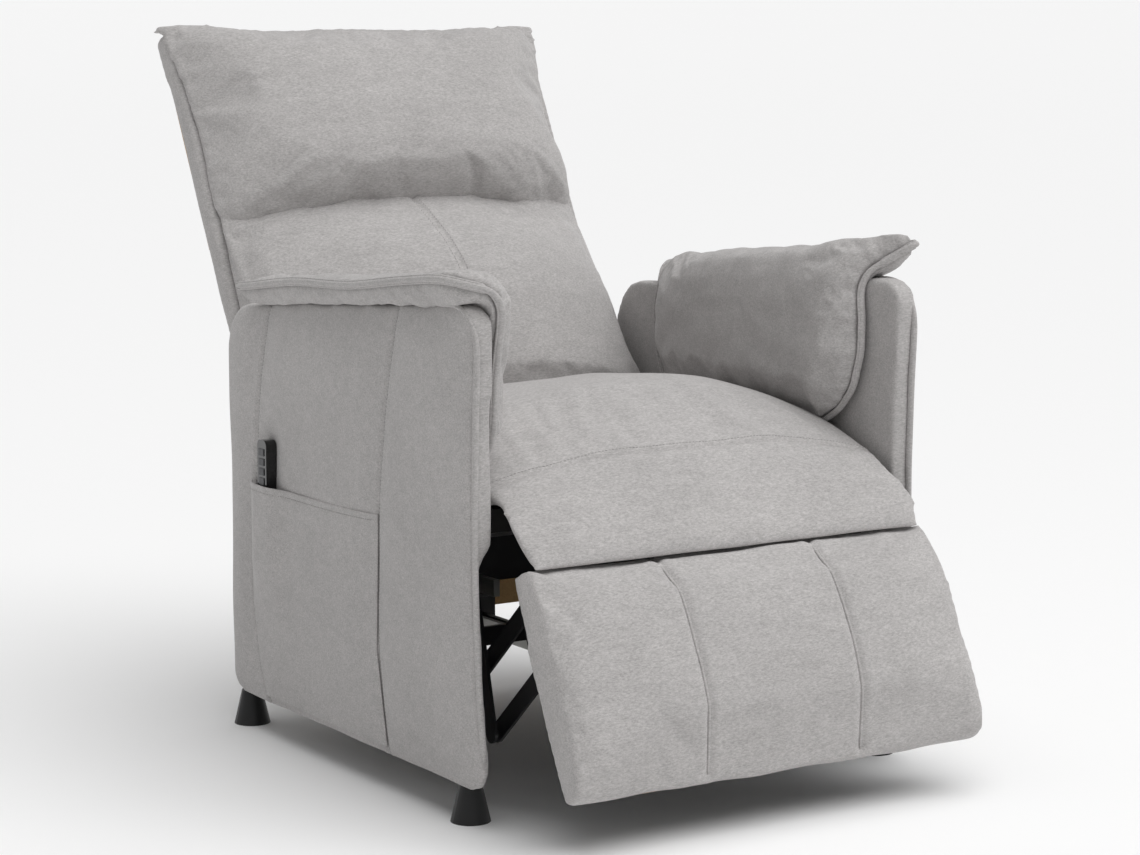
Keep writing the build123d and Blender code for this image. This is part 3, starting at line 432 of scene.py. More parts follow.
def arm(side):
    outer, inner = [], []
    for i in range(61):
        row_out, row_in = [], []
        for j in range(57):
            z = lerp(ARM_LOW, 610.0, j / 56)
            y = lerp(table_at(ARM_FRONT_EDGE, z), ARM_REAR_Y, i / 60)
            z = lerp(ARM_LOW, arm_top(y) + 1, j / 56)
            y, z = round_corner(y, z, (-296, arm_top(-296) - 37), 38, (-1, 1))
            y, z = round_corner(y, z, (226, arm_top(226) - 74), 80, (1, 1))
            y, z = round_corner(y, z, (276, 75), 30, (1, -1))
            y, z = round_corner(y, z, (-318, 70), 25, (-1, -1))
            row_out.append(at(side * (ARM_X + arm_puff(y, z, side)), y, z))
            inside = lerp(ARM_IN_LOW, ARM_IN_HIGH, max(0.0, min(1.0, (z - NOTCH_Z) / 8)))
            row_in.append(at(side * inside, y, z))
        outer.append(row_out)
        inner.append(row_in)
    name = "arm_left" if side < 0 else "arm_right"
    piece = slab(name, outer, inner)
    remesh(piece, VOXEL)
    wrinkle(piece, 0.0022, 9.0, seed=3.0 * side)
    subdivide(piece)
    return piece


def arm_seams(piece, side):
    tree = surface_tree(piece)
    out = (-side, 0, 0)
    word = "left" if side < 0 else "right"
    lines = []
    for rows in (REAR_SEAM, FRONT_SEAM):
        raw = smooth_line(dense([at(side * 340, y, z) for z, y in rows], 0.003), 300)
        line = cast(tree, raw, out)
        groove(piece, line, 0.003, 0.0034, 0.0006)
        lines.append([p + Vector((0, -0.006, 0)) for p in raw])
    tree = surface_tree(piece)
    sewn = stitches(f"arm_stitching_{word}", lines, tree, out)
    dress(sewn, thread, "base")
    edge = [at(side * (ARM_X - 2), table_at(ARM_FRONT_EDGE, z) - 1.0, z) for z in range(84, 566, 4)]
    for turn in range(0, 91, 10):
        c, s = math.cos(math.radians(turn)), math.sin(math.radians(turn))
        edge.append(at(side * (ARM_X - 2), -296 - 37 * c, arm_top(-296) - 37 + 38 * s))
    edge += [at(side * (ARM_X - 2), y, arm_top(y) + 0.5) for y in range(-290, -232, 6)]
    welt = tube(f"arm_front_welt_{word}", smooth_line(dense(edge, 0.004), 30), 0.0042, 0.8)
    dress(welt, suede, "base")


for side, nodes in ((-1, ("side_cover_left", "side_board_left")), (1, ("side_cover_right", "side_board_right"))):
    piece = arm(side)
    arm_seams(piece, side)
    dress(piece, suede, "base")
    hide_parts("arm_inner_pads", *nodes)

# ---------------------------------------------------------------------------
# Armrest pads: a pillow of fibre in a flanged case, folded over each arm. It
# stands 20 mm past the outer face and hangs 170 mm down inside. A flat band 9 mm
# wide between two pipings runs round its edge. In mm, middle of the feet.
# ---------------------------------------------------------------------------
PAD_PATH = [(339, 27), (330, 25), (318, 21), (303, 17), (291, 9), (285, -4), (282, -24), (281, -70), (280, -115),
            (278, -150), (275, -167)]
PAD_FRONT_Y = {-1: [(0.0, -288), (0.05, -306), (0.1, -318), (0.18, -328), (0.3, -331), (0.42, -320), (0.6, -308),
                    (0.8, -303), (0.92, -290), (1.0, -262)],
               1: [(0.0, -308), (0.06, -300), (0.13, -284), (0.22, -270), (0.32, -264), (0.45, -270), (0.62, -270),
                   (0.8, -256), (0.92, -232), (1.0, -203)]}
PAD_REAR_Y = [(0.0, 232), (0.06, 226), (0.14, 206), (0.225, 184), (0.3, 178), (0.42, 182), (0.6, 181), (0.8, 172),
              (0.92, 158), (1.0, 136)]
PAD_FILL = {-1: 24.0, 1: 34.0}
PAD_REAR_FALL = {-1: 30.0, 1: 75.0}
TIP_LIFT = {-1: 3, 1: 16}


def puff(piece, pressure, cap, frames, held, loose=0.0, stiff=12.0):
    """Fills a closed skin with cloth simulation. held(co) is True where the cover is fixed."""
    before = coords(piece)
    group = piece.vertex_groups.new(name="held")
    group.add([i for i, co in enumerate(before) if held(co)], 1.0, "REPLACE")
    mod = piece.modifiers.new("Cloth", "CLOTH")
    cloth = mod.settings
    cloth.quality = 6
    cloth.mass = 0.3
    cloth.tension_stiffness = stiff
    cloth.compression_stiffness = stiff
    cloth.shear_stiffness = stiff / 2
    cloth.bending_stiffness = 0.4
    cloth.vertex_group_mass = "held"
    cloth.use_pressure = True
    cloth.uniform_pressure_force = pressure
    cloth.shrink_min = -loose
    cloth.effector_weights.gravity = 0.0
    mod.point_cache.frame_start = 1
    mod.point_cache.frame_end = frames
    for number in range(1, frames + 1):
        bpy.context.scene.frame_set(number)
    graph = bpy.context.evaluated_depsgraph_get()
    after = np.array([v.co for v in piece.evaluated_get(graph).data.vertices], float)
    piece.modifiers.clear()
    move = after - before
    length = np.linalg.norm(move, axis=1, keepdims=True)
    move *= np.minimum(1.0, cap / np.maximum(length, 1e-9))
    set_coords(piece, before + move)
    bpy.context.scene.frame_set(1)
    return piece


def pad_path(t):
    """x, height against the arm's top, and length along the pad from its outer edge to its inner hem."""
    lengths = [0.0]
    for a, b in zip(PAD_PATH, PAD_PATH[1:]):
        lengths.append(lengths[-1] + math.dist(a, b))
    run = t * lengths[-1]
    x = float(np.interp(run, lengths, [p[0] for p in PAD_PATH]))
    return x, float(np.interp(run, lengths, [p[1] for p in PAD_PATH])), run, lengths[-1]


def pad_frame(t, y, side):
    """A point of the pad's middle surface and the direction out of its top, as (x, z) pairs."""
    x, dz, run, _ = pad_path(t)
    hang = min(1.0, max(0.0, -dz / 120.0))
    tip = TIP_LIFT[side] * math.exp(-(run / 30.0) ** 2) * math.exp(-((y - PAD_FRONT_Y[side][0][1]) / 48.0) ** 2)
    z = lerp(arm_top(y), arm_top(-60), hang) + dz + tip + 2.5 * math.sin(y / 47.0) * max(0.0, 1 - run / 30.0)
    x0, z0, _, _ = pad_path(max(0.0, t - 0.04))
    x1, z1, _, _ = pad_path(min(1.0, t + 0.04))
    size = math.hypot(x1 - x0, z1 - z0)
    return x, z, (z1 - z0) / size, -(x1 - x0) / size


def pad_edge_y(t, side):
    return table_at(PAD_FRONT_Y[side], t), table_at(PAD_REAR_Y, t)


def pad_under(run, d):
    """Thickness of the lower layer: full outside the arm, thin on it, against the arm inside."""
    full = 1 - math.exp(-max(0.0, d) / 7.0)
    if run < 22:
        return 3.0 + 20.0 * full
    if run < 52:
        return lerp(3.0 + 20.0 * full, 12.0, (run - 22) / 30)
    return lerp(12.0, 8.0, min(1.0, (run - 52) / 40))


def armrest(side):
    word = "left" if side < 0 else "right"
    outer, inner = [], []
    for i in range(71):
        t = i / 70
        run, length = pad_path(t)[2:]
        front, rear = pad_edge_y(t, side)
        row_out, row_in = [], []
        for j in range(111):
            y = lerp(front, rear, j / 110)
            x, z, nx, nz = pad_frame(t, y, side)
            d = min(run, length - run, y - front)
            fall = 1 - math.exp(-(rear - y) / PAD_REAR_FALL[side])
            rise = 3.5 + PAD_FILL[side] * (1 - math.exp(-max(0.0, d) / 13.0)) * fall
            under = pad_under(run, min(run, y - front, rear - y))
            row_out.append(at(side * (x + nx * rise), y, z + nz * rise))
            row_in.append(at(side * (x - nx * under), y, z - nz * under))
        outer.append(row_out)
        inner.append(row_in)
    piece = slab(f"armrest_pad_{word}_cover", outer, inner)
    remesh(piece, 0.0048, 2)
    return piece


def pad_border(side):
    """The line of the pad's edge: outer edge, front, hem and rear, as a closed run of points."""
    steps = [k / 120 for k in range(121)]
    outer = [(0.0, lerp(*pad_edge_y(0.0, side), s)) for s in reversed(steps)]
    front = [(s, pad_edge_y(s, side)[0]) for s in steps]
    hem = [(1.0, lerp(*pad_edge_y(1.0, side), s)) for s in steps]
    rear = [(s, pad_edge_y(s, side)[1]) for s in reversed(steps)]
    line = []
    for t, y in outer + front + hem + rear:
        x, z, _, _ = pad_frame(t, y, side)
        line.append(at(side * x, y, z))
    return smooth_line(dense(line, 0.003), 12)


def gathers(piece, side, border):
    """Ruched folds of the lower layer under the welt, round the front of the pad."""
    tree = KDTree(len(border))
    for i, p in enumerate(border):
        tree.insert(p, i)
    tree.balance()
    points, up = coords(piece), normals(piece)
    push = np.zeros(len(points))
    for k, p in enumerate(points):
        _, i, away = tree.find(Vector(p))
        if away > 0.035 or away < 0.004:
            continue
        fold = math.sin(i * 0.9) * (0.6 + 0.4 * math.sin(i * 0.37))
        place = border[i]
        front = math.exp(-(((place.y - SHIFT_Y) * 1000 + 318) / 55.0) ** 2)
        low = math.exp(-((place.z - 0.45) / 0.03) ** 2) * 0.5
        push[k] = fold * 0.0026 * max(front, low, 0.12) * math.exp(-((away - 0.012) / 0.014) ** 2)
    set_coords(piece, points + up * push[:, None])


for side, node in ((-1, "armrest_pad_left"), (1, "armrest_pad_right")):
    word = "left" if side < 0 else "right"
    piece = armrest(side)
    border = pad_border(side)
    near = KDTree(len(border))
    for i, p in enumerate(border):
        near.insert(p, i)
    near.balance()
    puff(piece, 3.0, 0.007, 14, lambda co: near.find(Vector(co))[2] < 0.007
         or abs(co[0]) > 0.29 and co[2] < 0.60 and near.find(Vector(co))[2] > 0.03, loose=0.03)
    wrinkle(piece, 0.0025, 30.0, seed=side)
    gathers(piece, side, border)
    subdivide(piece)
    groove(piece, border, 0.006, 0.003)
    middle = at(side * 292, -50, 575)
    out = [Vector(((p.x - middle.x) * 2.5, (p.y - middle.y) * 0.6, (p.z - middle.z) * 0.6)).normalized()
           for p in border]
    rim = [p + o * 0.0022 for p, o in zip(border, out)]
    dress(tube(f"armrest_pad_{word}_welt", rim, 0.0046, 0.9), suede, "base")
    for lift, part in ((0.0042, "upper"), (-0.0042, "lower")):
        tips = [p + Vector((0, 0, lift)) if abs(p.x) > 0.3 else p + Vector((side * lift, 0, 0)) for p in rim]
        dress(tube(f"armrest_pad_{word}_{part}_piping", smooth_line(tips, 6), 0.0016), suede, "base")
    dress(piece, suede, "base")
    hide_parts(node)

# ---------------------------------------------------------------------------
# Seat and calf flap: one sewn cover over a crowned foam seat, carried on over
# the gap to the footrest. A topstitched seam crosses it at the seat's front.
# The cover curves down at its front to the footrest's hinge line. In mm, middle of the feet.
# ---------------------------------------------------------------------------
LEG_TOP = (-395.0, 318.0)
LEG_TILT = math.radians(26.66)
SEAT_HALF = 287.0
SEAT_MIDDLE = [(-396, 315), (-388, 331), (-372, 351), (-345, 381), (-318, 406), (-300, 421), (-270, 440), (-222, 464),
               (-170, 476), (-110, 480), (-30, 473), (60, 456), (120, 442), (146, 425)]
SEAT_EDGE = [(-396, 312), (-378, 343), (-345, 368), (-308, 386), (-270, 398), (-222, 408), (-141, 422), (-30, 430),
             (60, 430), (120, 425), (146, 412)]
SEAT_UNDER = [(-396, 306), (-385, 314), (-362, 330), (-338, 358), (-316, 376), (-296, 373), (-262, 368), (146, 368)]
SEAM_Y = -300.0


def seat_top(x, y):
    across = abs(x) / SEAT_HALF
    blend = (1 - across ** 2.6)
    return lerp(table_at(SEAT_EDGE, y), table_at(SEAT_MIDDLE, y), blend)


def seat_cover():
    top, under = [], []
    ys = list(np.linspace(-396, -262, 34)) + list(np.linspace(-255, 146, 62))
    for y in ys:
        row_top, row_under = [], []
        for j in range(81):
            x = lerp(-SEAT_HALF, SEAT_HALF, j / 80)
            row_top.append(at(x, y, seat_top(x, y)))
            row_under.append(at(x * 0.985, y, min(table_at(SEAT_UNDER, y), seat_top(x, y) - 8)))
        top.append(row_top)
        under.append(row_under)
    return slab("seat_cover", top, under)


seat = remesh(seat_cover(), VOXEL, 12)
puff(seat, 2.5, 0.006, 14,
     lambda co: co[2] < 0.385 or co[1] < at(0, -290, 0).y or co[1] > at(0, 120, 0).y, loose=0.01)
wrinkle(seat, 0.003, 14.0, lambda co: 1.0 if co[2] > 0.39 else 0.3, seed=5.0)
subdivide(seat)
tree = surface_tree(seat)
seam_raw = [at(x, SEAM_Y + 6 * (x / SEAT_HALF) ** 2, 700) for x in range(-283, 284, 3)]
groove(seat, cast(tree, seam_raw, (0, 0, -1)), 0.0035, 0.0026, 0.0006)
tree = surface_tree(seat)
sewn = stitches("seat_stitching", [[p + Vector((0, 0.007, 0)) for p in seam_raw]], tree, (0, 0, -1))
dress(sewn, thread, "base")
dress(seat, suede, None)
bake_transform(seat)
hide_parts("seat_cushion", "chaise_flap")

# ---------------------------------------------------------------------------
# Footrest: foam pad on a board, in a boxed cover. The front face puffs out
# between two upright welted seams 220 mm apart, and pulls in along its sewn
# edges. Footrest frame: s down the face from its top seam, n out of the face.
# ---------------------------------------------------------------------------
LEG_LENGTH = 271.0
LEG_HALF = [(0.0, 288.0), (40.0, 291.0), (120.0, 294.0), (271.0, 294.0)]
LEG_SEAM_X = 110.0
BOARD_REAR = -41.6


def leg(x, s, n):
    sin, cos = math.sin(LEG_TILT), math.cos(LEG_TILT)
    return at(x, LEG_TOP[0] - s * sin - n * cos, LEG_TOP[1] - s * cos + n * sin)


LEG_MIDDLE = [(0, 0), (12, 6), (37, 13), (65, 19), (95, 22), (140, 22), (182, 16), (225, 8), (250, 1), (262, -7),
              (271, -22)]
LEG_EDGE = [(0, -7), (20, 0), (57, 7), (122, 8), (197, 7), (245, 3), (262, -3), (271, -18)]


def leg_front(x, s):
    across = max(0.0, 1 - (abs(x) / table_at(LEG_HALF, s)) ** 4.0)
    return lerp(table_at(LEG_EDGE, s), table_at(LEG_MIDDLE, s), across)


def footrest():
    front, back = [], []
    for i in range(55):
        s = lerp(0.0, LEG_LENGTH, i / 54)
        half = table_at(LEG_HALF, s)
        row_front, row_back = [], []
        for j in range(81):
            x = lerp(-half, half, j / 80)
            row_front.append(leg(x, s, leg_front(x, s)))
            row_back.append(leg(x, s, BOARD_REAR))
        front.append(row_front)
        back.append(row_back)
    return slab("footrest_cover", front, back)


rest = remesh(footrest(), VOXEL, 4)
leg_plane = leg(0, 0, -30)
leg_normal = (leg(0, 0, 1) - leg(0, 0, 0)).normalized()
puff(rest, 3.0, 0.007, 14, lambda co: (Vector(co) - leg_plane).dot(leg_normal) < 0.012, loose=0.01)
wrinkle(rest, 0.003, 14.0, seed=9.0)
subdivide(rest)
tree = surface_tree(rest)
welts = []
for side in (-1, 1):
    raw = [leg(side * LEG_SEAM_X, s, 60) for s in range(4, 264, 3)]
    line = smooth_line(cast(tree, raw, -leg_normal), 20)
    groove(rest, line, 0.005, 0.0042, 0.001)
    welts.append(line)
tree = surface_tree(rest)
for side, line in zip(("left", "right"), welts):
    raw = [p + leg_normal * 0.05 for p in line]
    placed = smooth_line(cast(tree, raw, -leg_normal, 0.0006), 10)
    dress(tube(f"footrest_welt_{side}", placed, 0.0018, 1.0, [leg_normal] * len(placed)), suede, "legrest")
dress(rest, suede, "legrest")
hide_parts("legrest_pad")


def hard_material(name, dark, light, rough, metallic, grain_mm, bump_m, stretch=(1, 1, 1), coat=0.0):
    material, tree = new_material(name)
    place = add(tree, "ShaderNodeTexCoord").outputs["Object"]
    scaled = add(tree, "ShaderNodeMapping", {"Vector": place, "Scale": stretch})
    grain = add(tree, "ShaderNodeTexNoise", {"Vector": scaled.outputs[0], "Scale": 1000 / grain_mm, "Detail": 4.0,
                                             "Roughness": 0.6})
    wear = add(tree, "ShaderNodeTexNoise", {"Vector": place, "Scale": 22.0, "Detail": 3.0})
    colour = add(tree, "ShaderNodeMix", {0: grain.outputs["Fac"], 6: linear(dark), 7: linear(light)},
                 data_type="RGBA")
    gloss = add(tree, "ShaderNodeMapRange", {"Value": wear.outputs["Fac"], "From Min": 0.3, "From Max": 0.7,
                                             "To Min": rough * 0.85, "To Max": min(1.0, rough * 1.15)})
    relief = add(tree, "ShaderNodeBump", {"Height": grain.outputs["Fac"], "Strength": 0.4, "Distance": bump_m})
    surface = add(tree, "ShaderNodeBsdfPrincipled", {"Base Color": colour.outputs[2], "Roughness": gloss.outputs[0],
                                                     "Metallic": metallic, "Normal": relief.outputs[0],
                                                     "Coat Weight": coat, "Coat Roughness": 0.05, "IOR": 1.5})
    finish_material(tree, surface)
    return material


# Black non-woven cloth stapled over the back of the board, turned up over its
# lower edge. It is 564 mm wide and hides the staples of the cover.
DUST_HALF = 282.0
LIP_HALF = 274.0
outer, inner = [], []
for i in range(40):
    s = lerp(LEG_LENGTH - 5.0, 6.0, i / 39)
    row_out, row_in = [], []
    for j in range(61):
        x = lerp(-DUST_HALF, DUST_HALF, j / 60)
        sag = 1.6 * math.sin(math.pi * i / 39) * (1 + 0.5 * math.sin(x / 60.0))
        row_out.append(leg(x, s, BOARD_REAR - 1.4 - sag))
        row_in.append(leg(x, s, BOARD_REAR + 0.2 - sag * 0.6))
    outer.append(row_out)
    inner.append(row_in)
lip_out = [leg(lerp(-LIP_HALF, LIP_HALF, j / 60), LEG_LENGTH - 4.2, -40.0) for j in range(61)]
lip_in = [leg(lerp(-LIP_HALF, LIP_HALF, j / 60), LEG_LENGTH - 5.6, -40.0) for j in range(61)]
dust = slab("dust_cloth", [lip_out] + outer, [lip_in] + inner)
non_woven = hard_material("non_woven", "101011", "1C1C1D", 0.95, 0.0, 0.9, 0.0004)
dress(dust, non_woven, "legrest")
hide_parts("legrest_dust_cover")

# ---------------------------------------------------------------------------
# Back: a padded shell round the wooden frame, a crowned lumbar cushion with
# one double-stitched seam up its middle, and a thin boxing down each side.
# Back frame: u up the back from its hinge, v forwards out of it, in mm.
# ---------------------------------------------------------------------------
HINGE = (230.0, 350.0)
LEAN = math.radians(27.6)
LUMBAR_MIDDLE = [(24, 84), (36, 102), (60, 112), (120, 114), (190, 112), (230, 105), (270, 90), (310, 66), (350, 36),
                 (385, 20)]
LUMBAR_EDGE = [(24, 50), (67, 54), (110, 48), (144, 40), (221, 22), (300, 4), (350, -6), (385, -10)]
LUMBAR_LOW = 24
LUMBAR_TOP = 385
LUMBAR_HALF = [(24, 280), (144, 284), (221, 286), (300, 284), (350, 282), (385, 280)]
SHELL_HALF = [(30, 288), (200, 289), (260, 292), (470, 291), (560, 292), (642, 294)]

SHELL_LOW = 30
SHELL_TOP = 642
SHELL_SEAM_X = 150


def back(x, u, v):
    sin, cos = math.sin(LEAN), math.cos(LEAN)
    return at(x, HINGE[0] + u * sin - v * cos, HINGE[1] + u * cos + v * sin)


back_up = (back(0, 1, 0) - back(0, 0, 0)).normalized()
back_out = (back(0, 0, 1) - back(0, 0, 0)).normalized()
back_origin = back(0, 0, 0)


def back_uv(co):
    d = Vector(co) - back_origin
    return d.dot(back_up) * 1000, d.dot(back_out) * 1000


def lumbar():
    front, rear = [], []
    for i in range(66):
        u = lerp(LUMBAR_LOW, LUMBAR_TOP, i / 65)
        half = table_at(LUMBAR_HALF, u)
        row_front, row_rear = [], []
        for j in range(81):
            x = lerp(-half, half, j / 80)
            across = 1 - (abs(x) / half) ** 2.2
            v = lerp(table_at(LUMBAR_EDGE, u), table_at(LUMBAR_MIDDLE, u), across)
            row_front.append(back(x, u, v))
            row_rear.append(back(x * 0.99, u, -15.0))
        front.append(row_front)
        rear.append(row_rear)
    return slab("lumbar_cover", front, rear)


piece = remesh(lumbar(), VOXEL, 8)
puff(piece, 2.5, 0.006, 14, lambda co: back_uv(co)[1] < -6 or back_uv(co)[0] > 360, loose=0.01)
wrinkle(piece, 0.0035, 11.0, lambda co: 1.0 if back_uv(co)[1] > -5 else 0.2, seed=13.0)
subdivide(piece)
tree = surface_tree(piece)
seam_raw = smooth_line([back(4 * math.sin(u / 60), u, 200) for u in range(30, 384, 3)], 20)
groove(piece, cast(tree, seam_raw, -back_out), 0.004, 0.003, 0.0008)
for side in (-1, 1):
    edge = [back(side * (table_at(LUMBAR_HALF, u) + 60), u, table_at(LUMBAR_EDGE, u) - 10)
            for u in range(30, 384, 3)]
    groove(piece, cast(tree, edge, (-side, 0, 0)), 0.003, 0.0022)
tree = surface_tree(piece)
lines = [[p + Vector((dx, 0, 0)) for p in seam_raw] for dx in (-0.006, 0.006)]
dress(stitches("lumbar_stitching", lines, tree, -back_out), thread, "back")
dress(piece, suede, "back")
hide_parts("back_cushion")

front, rear = [], []
for i in range(60):
    u = lerp(SHELL_LOW, SHELL_TOP, i / 59)
    half = table_at(SHELL_HALF, u)
    row_front, row_rear = [], []
    for j in range(61):
        x = lerp(-half, half, j / 60)
        edge = min(half - abs(x), u - SHELL_LOW, SHELL_TOP - u)
        row_front.append(back(x, u, -14.0))
        row_rear.append(back(x, u, -46.0 - 5.0 * (1 - math.exp(-edge / 25.0))))
    front.append(row_front)
    rear.append(row_rear)
shell = remesh(slab("back_shell", front, rear), VOXEL, 3)
wrinkle(shell, 0.002, 9.0, seed=21.0)
subdivide(shell)
tree = surface_tree(shell)
for x in (-SHELL_SEAM_X, SHELL_SEAM_X):
    raw = [back(x, u, -200) for u in range(34, 640, 3)]
    groove(shell, cast(tree, raw, back_out), 0.0035, 0.0022)
tree = surface_tree(shell)
lines = [[back(x + dx, u, -200) for u in range(34, 638, 3)] for x in (-SHELL_SEAM_X, SHELL_SEAM_X)
         for dx in (-6, 6)]
dress(stitches("shell_stitching", lines, tree, back_out), thread, "back")
dress(shell, suede, "back")
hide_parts("back_rear_panel")

# ---------------------------------------------------------------------------
# Head pillow: a fibre-filled case sewn to the top of the back and folded over
# its top rail. It is fullest a quarter of the way up, its top corners stand up
# as soft points, and its lower edge is gathered into tucks at both sides.
# ---------------------------------------------------------------------------
PILLOW_HALF = [(352, 276), (372, 283), (410, 284), (470, 281), (530, 283), (580, 290), (630, 302), (668, 307)]
PILLOW_MIDDLE = [(352, 22), (362, 44), (385, 60), (430, 66), (490, 62), (550, 50), (600, 34), (640, 14), (660, -8)]
PILLOW_EDGE = [(352, -12), (372, -6), (430, -4), (600, -10), (668, -16)]


def pillow():
    front, rear = [], []
    for i in range(61):
        row_front, row_rear = [], []
        for j in range(91):
            a = lerp(-1, 1, j / 90)
            low = 349 - 7 * math.exp(-((a + 0.72) / 0.2) ** 2) - 3 * math.exp(-((a - 0.75) / 0.2) ** 2)
            high = 645 + 9 * abs(a) ** 3
            u = lerp(low, high, i / 60)
            x = a * table_at(PILLOW_HALF, u)
            across = max(0.0, 1 - abs(a) ** 3.4)
            v = lerp(table_at(PILLOW_EDGE, u), table_at(PILLOW_MIDDLE, u), across ** 0.8)
            row_front.append(back(x, u, v))
            over = max(0.0, (u - 643) / 12)
            row_rear.append(back(x * 0.995, u, -16.0 - 34.0 * min(1.0, over)))
        front.append(row_front)
        rear.append(row_rear)
    return slab("head_pillow_cover", front, rear)


piece = remesh(pillow(), 0.006, 4)
puff(piece, 3.5, 0.012, 18, lambda co: back_uv(co)[1] < -12, loose=0.03)
wrinkle(piece, 0.004, 9.0, seed=17.0)
wrinkle(piece, 0.0045, 38.0, lambda co: math.exp(-((back_uv(co)[0] - 362) / 22) ** 2)
        * math.exp(-((abs(co[0]) - 0.22) / 0.07) ** 2), seed=2.0)
subdivide(piece)
dress(piece, suede, "back")
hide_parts("head_pillow")

# ---------------------------------------------------------------------------
# Side pocket: a flat fabric panel sewn into the arm's two upright seams, open
# along its hemmed top edge, where the handset pushes it out.
# ---------------------------------------------------------------------------
POCKET_TOP = 340.0
POCKET_THICK = 2.0


def pocket_out(y, z):
    """How far the pocket's outer face stands from the arm's middle plane."""
    skin = ARM_X + arm_puff(y, z, 1) * 0.8 + 2.5
    dy = max(0.0, abs(y - HANDSET_Y) - HANDSET_HALF)
    dz = max(0.0, 250.0 - z)
    push = math.exp(-(dy / 30.0) ** 2) * math.exp(-(dz / 60.0) ** 2)
    return lerp(skin, 340.3, push)


outer, inner = [], []
for i in range(75):
    z = lerp(56.0, POCKET_TOP, i / 74)
    row_out, row_in = [], []
    for j in range(81):
        y = lerp(table_at(REAR_SEAM, z) + 1, table_at(FRONT_SEAM, z) - 1, j / 80)
        hem = 0.9 if z > POCKET_TOP - 11 else 0.0
        x = pocket_out(y, z)
        sag = 2.5 * math.sin(math.pi * j / 80) * max(0.0, (z - 200) / 140)
        row_out.append(at(-(x + hem), y, z - sag))
        row_in.append(at(-(x - POCKET_THICK), y, z - sag))
    outer.append(row_out)
    inner.append(row_in)
pocket = slab("side_pocket_cloth", outer, inner)
subdivide(pocket)
tree = surface_tree(pocket)
hem_line = [[at(-400, y, POCKET_TOP - 8.5 - 2.5 * math.sin(math.pi * (228 - y) / 328))
             for y in range(226, -98, -3)]]
dress(stitches("pocket_stitching", hem_line, tree, (1, 0, 0)), thread, "base")
dress(pocket, suede, "base")
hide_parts("side_pocket")

# ---------------------------------------------------------------------------
# Rear board between the arms: thin board under stretched cover fabric.
# ---------------------------------------------------------------------------
skirt_low, skirt_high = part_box("rear_skirt")
outer, inner = [], []
for i in range(41):
    z = lerp(skirt_low.z, skirt_high.z, i / 40)
    row_out, row_in = [], []
    for j in range(91):
        x = lerp(skirt_low.x + 0.001, skirt_high.x - 0.001, j / 90)
        edge = min(x - skirt_low.x, skirt_high.x - x, z - skirt_low.z, skirt_high.z - z)
        row_out.append(Vector((x, skirt_high.y + 0.003 * (1 - math.exp(-edge / 0.012)), z)))
        row_in.append(Vector((x, skirt_low.y, z)))
    outer.append(row_out)
    inner.append(row_in)
skirt = slab("rear_skirt_cover", outer, inner)
dress(skirt, suede, "base")
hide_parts("rear_skirt")

# ---------------------------------------------------------------------------
# Hard parts keep their CAD shapes. Moulded black plastic feet and housings,
# powder-coated steel links, zinc bolts, oiled spring wire, drawn aluminium
# rails, raw softwood, black non-woven cloth and a glossy black handset.
# ---------------------------------------------------------------------------
HARD = {
    # moulded ABS: black with a soft satin gleam, slightly mottled
    "black_plastic_foot": hard_material("moulded_abs", "0B0B0C", "161617", 0.42, 0.0, 0.8, 0.00012),
    # spark-eroded housing plastic: black and duller, a fine grain breaks up its shine
    "black_housing": hard_material("grained_housing_abs", "0E0E0F", "1A1A1B", 0.5, 0.0, 0.8, 0.00015),
    # powder-coated steel: even black under a thin smooth coat
    "black_painted_steel": hard_material("powder_coated_steel", "0C0C0D", "18181A", 0.38, 0.0, 0.5, 0.00008,
                                         coat=0.2),
    # zinc-plated steel: pale cool metal, lightly blurred
    "zinc_steel": hard_material("zinc_plated_steel", "9A9C9F", "B9BBBD", 0.32, 1.0, 0.6, 0.00003),
    # oiled spring wire: dark metal
    "spring_steel": hard_material("oiled_spring_wire", "3A3A3C", "58585B", 0.35, 1.0, 0.6, 0.00003),
    # drawn aluminium: light metal with marks along its length
    "aluminium_rail": hard_material("drawn_aluminium", "A6A6A2", "C4C4C0", 0.38, 1.0, 0.7, 0.00004, (1, 0.04, 1)),
    # planed softwood: warm yellow brown, 3 mm grain
    "wood_frame": hard_material("planed_softwood", "A8814F", "C9A672", 0.7, 0.0, 3.0, 0.0002, (1, 0.06, 1)),
    # polished ABS: black and mirror-like
    "handset_gloss": hard_material("polished_abs", "050506", "0A0A0B", 0.12, 0.0, 2.0, 0.00001, coat=0.6),
    # silicone rubber: mid grey, matt
    "button_grey": hard_material("silicone_rubber", "4A4A4C", "5C5C5E", 0.55, 0.0, 0.6, 0.00006),
}
# The rails and blocks that show beside the footrest are painted black as painted shade: a dark colour stands in for
# the shadow under the seat and between the arm and the seat.
SHADE_BLACKENED = ("seat_side_rails", "seat_front_rail", "seat_rear_rail", "foot_blocks", "base_side_rails")
painted_shade_black = hard_material("softwood_painted_shade_black", "0D0C0B", "1B1917", 0.6, 0.0, 3.0, 0.0002, (1, 0.06, 1))
slot_of = {s["node"]: s["material_slot"] for s in frame["record"]["subparts"]}
for node, piece in frame["nodes"].items():
    if slot_of.get(node) in HARD:
        for place in piece.material_slots:
            # painted shade: the shaded rails and blocks get black softwood instead of their own wood colour
            place.material = painted_shade_black if node in SHADE_BLACKENED else HARD[slot_of[node]]

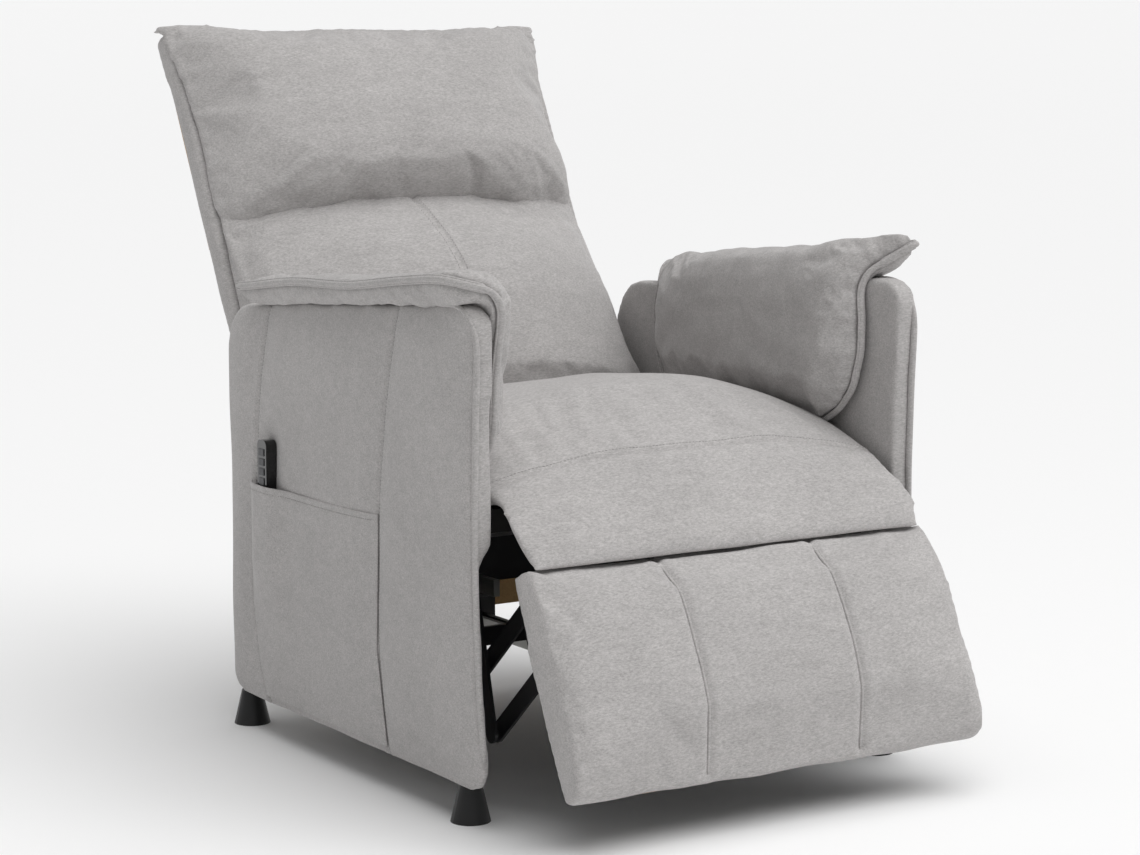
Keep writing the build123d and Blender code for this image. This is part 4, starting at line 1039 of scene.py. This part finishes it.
# ---------------------------------------------------------------------------
# Studio: pale sweep, one broad overhead light, and a soft key from the front
# right. The camera stands at the chair's front left, a little above it.
# ---------------------------------------------------------------------------
scene = bpy.context.scene
SWEEP_START = 25.0
SWEEP_END = 72.0
SWEEP_HIGH = 4.0
rings = [0.0, 4.0, 12.0, SWEEP_START, 32.0, 40.0, 50.0, 60.0, SWEEP_END]
verts = [(r * math.cos(k * math.pi / 24), r * math.sin(k * math.pi / 24),
          SWEEP_HIGH * (max(0.0, r - SWEEP_START) / (SWEEP_END - SWEEP_START)) ** 2)
         for r in rings for k in range(48)]
faces = [(n * 48 + k, n * 48 + (k + 1) % 48, n * 48 + 48 + (k + 1) % 48, n * 48 + 48 + k)
         for n in range(len(rings) - 1) for k in range(48)]
floor = mesh_object("studio_floor", verts, faces)
for face in floor.data.polygons:
    face.use_smooth = True
paper, tree = new_material("studio_paper")
finish_material(tree, add(tree, "ShaderNodeBsdfPrincipled", {"Base Color": linear("F6F6F6"), "Roughness": 0.9}))
floor.data.materials.append(paper)

world = bpy.data.worlds.new("studio")
scene.world = world
world.use_nodes = True
world.node_tree.nodes["Background"].inputs[0].default_value = (1, 1, 1, 1)
world.node_tree.nodes["Background"].inputs[1].default_value = 0.33


def soft_light(name, where, aim, size, watts):
    data = bpy.data.lights.new(name, "AREA")
    data.shape = "DISK"
    data.size = size
    data.energy = watts
    light = bpy.data.objects.new(name, data)
    light.location = where
    light.rotation_euler = (Vector(aim) - Vector(where)).to_track_quat("-Z", "Y").to_euler()
    scene.collection.objects.link(light)


sun_data = bpy.data.lights.new("overhead", "SUN")
sun_data.energy = 2.25
sun_data.angle = math.radians(70)
sun = bpy.data.objects.new("overhead", sun_data)
sun.rotation_euler = (math.radians(14), math.radians(10), 0)
scene.collection.objects.link(sun)
soft_light("key", (1.8, -2.6, 2.4), (0, 0, 0.5), 1.6, 9)

camera_data = bpy.data.cameras.new("camera")
camera = bpy.data.objects.new("camera", camera_data)
scene.collection.objects.link(camera)
scene.camera = camera
camera_data.sensor_width = 36.0
camera_data.lens = 91.45
camera.location = at(-1977.95, -3127.43, 930.0)
camera.rotation_euler = (math.radians(90 - 8.02), 0, math.radians(-32.57))

scene.view_settings.view_transform = "Standard"
scene.view_settings.look = "None"
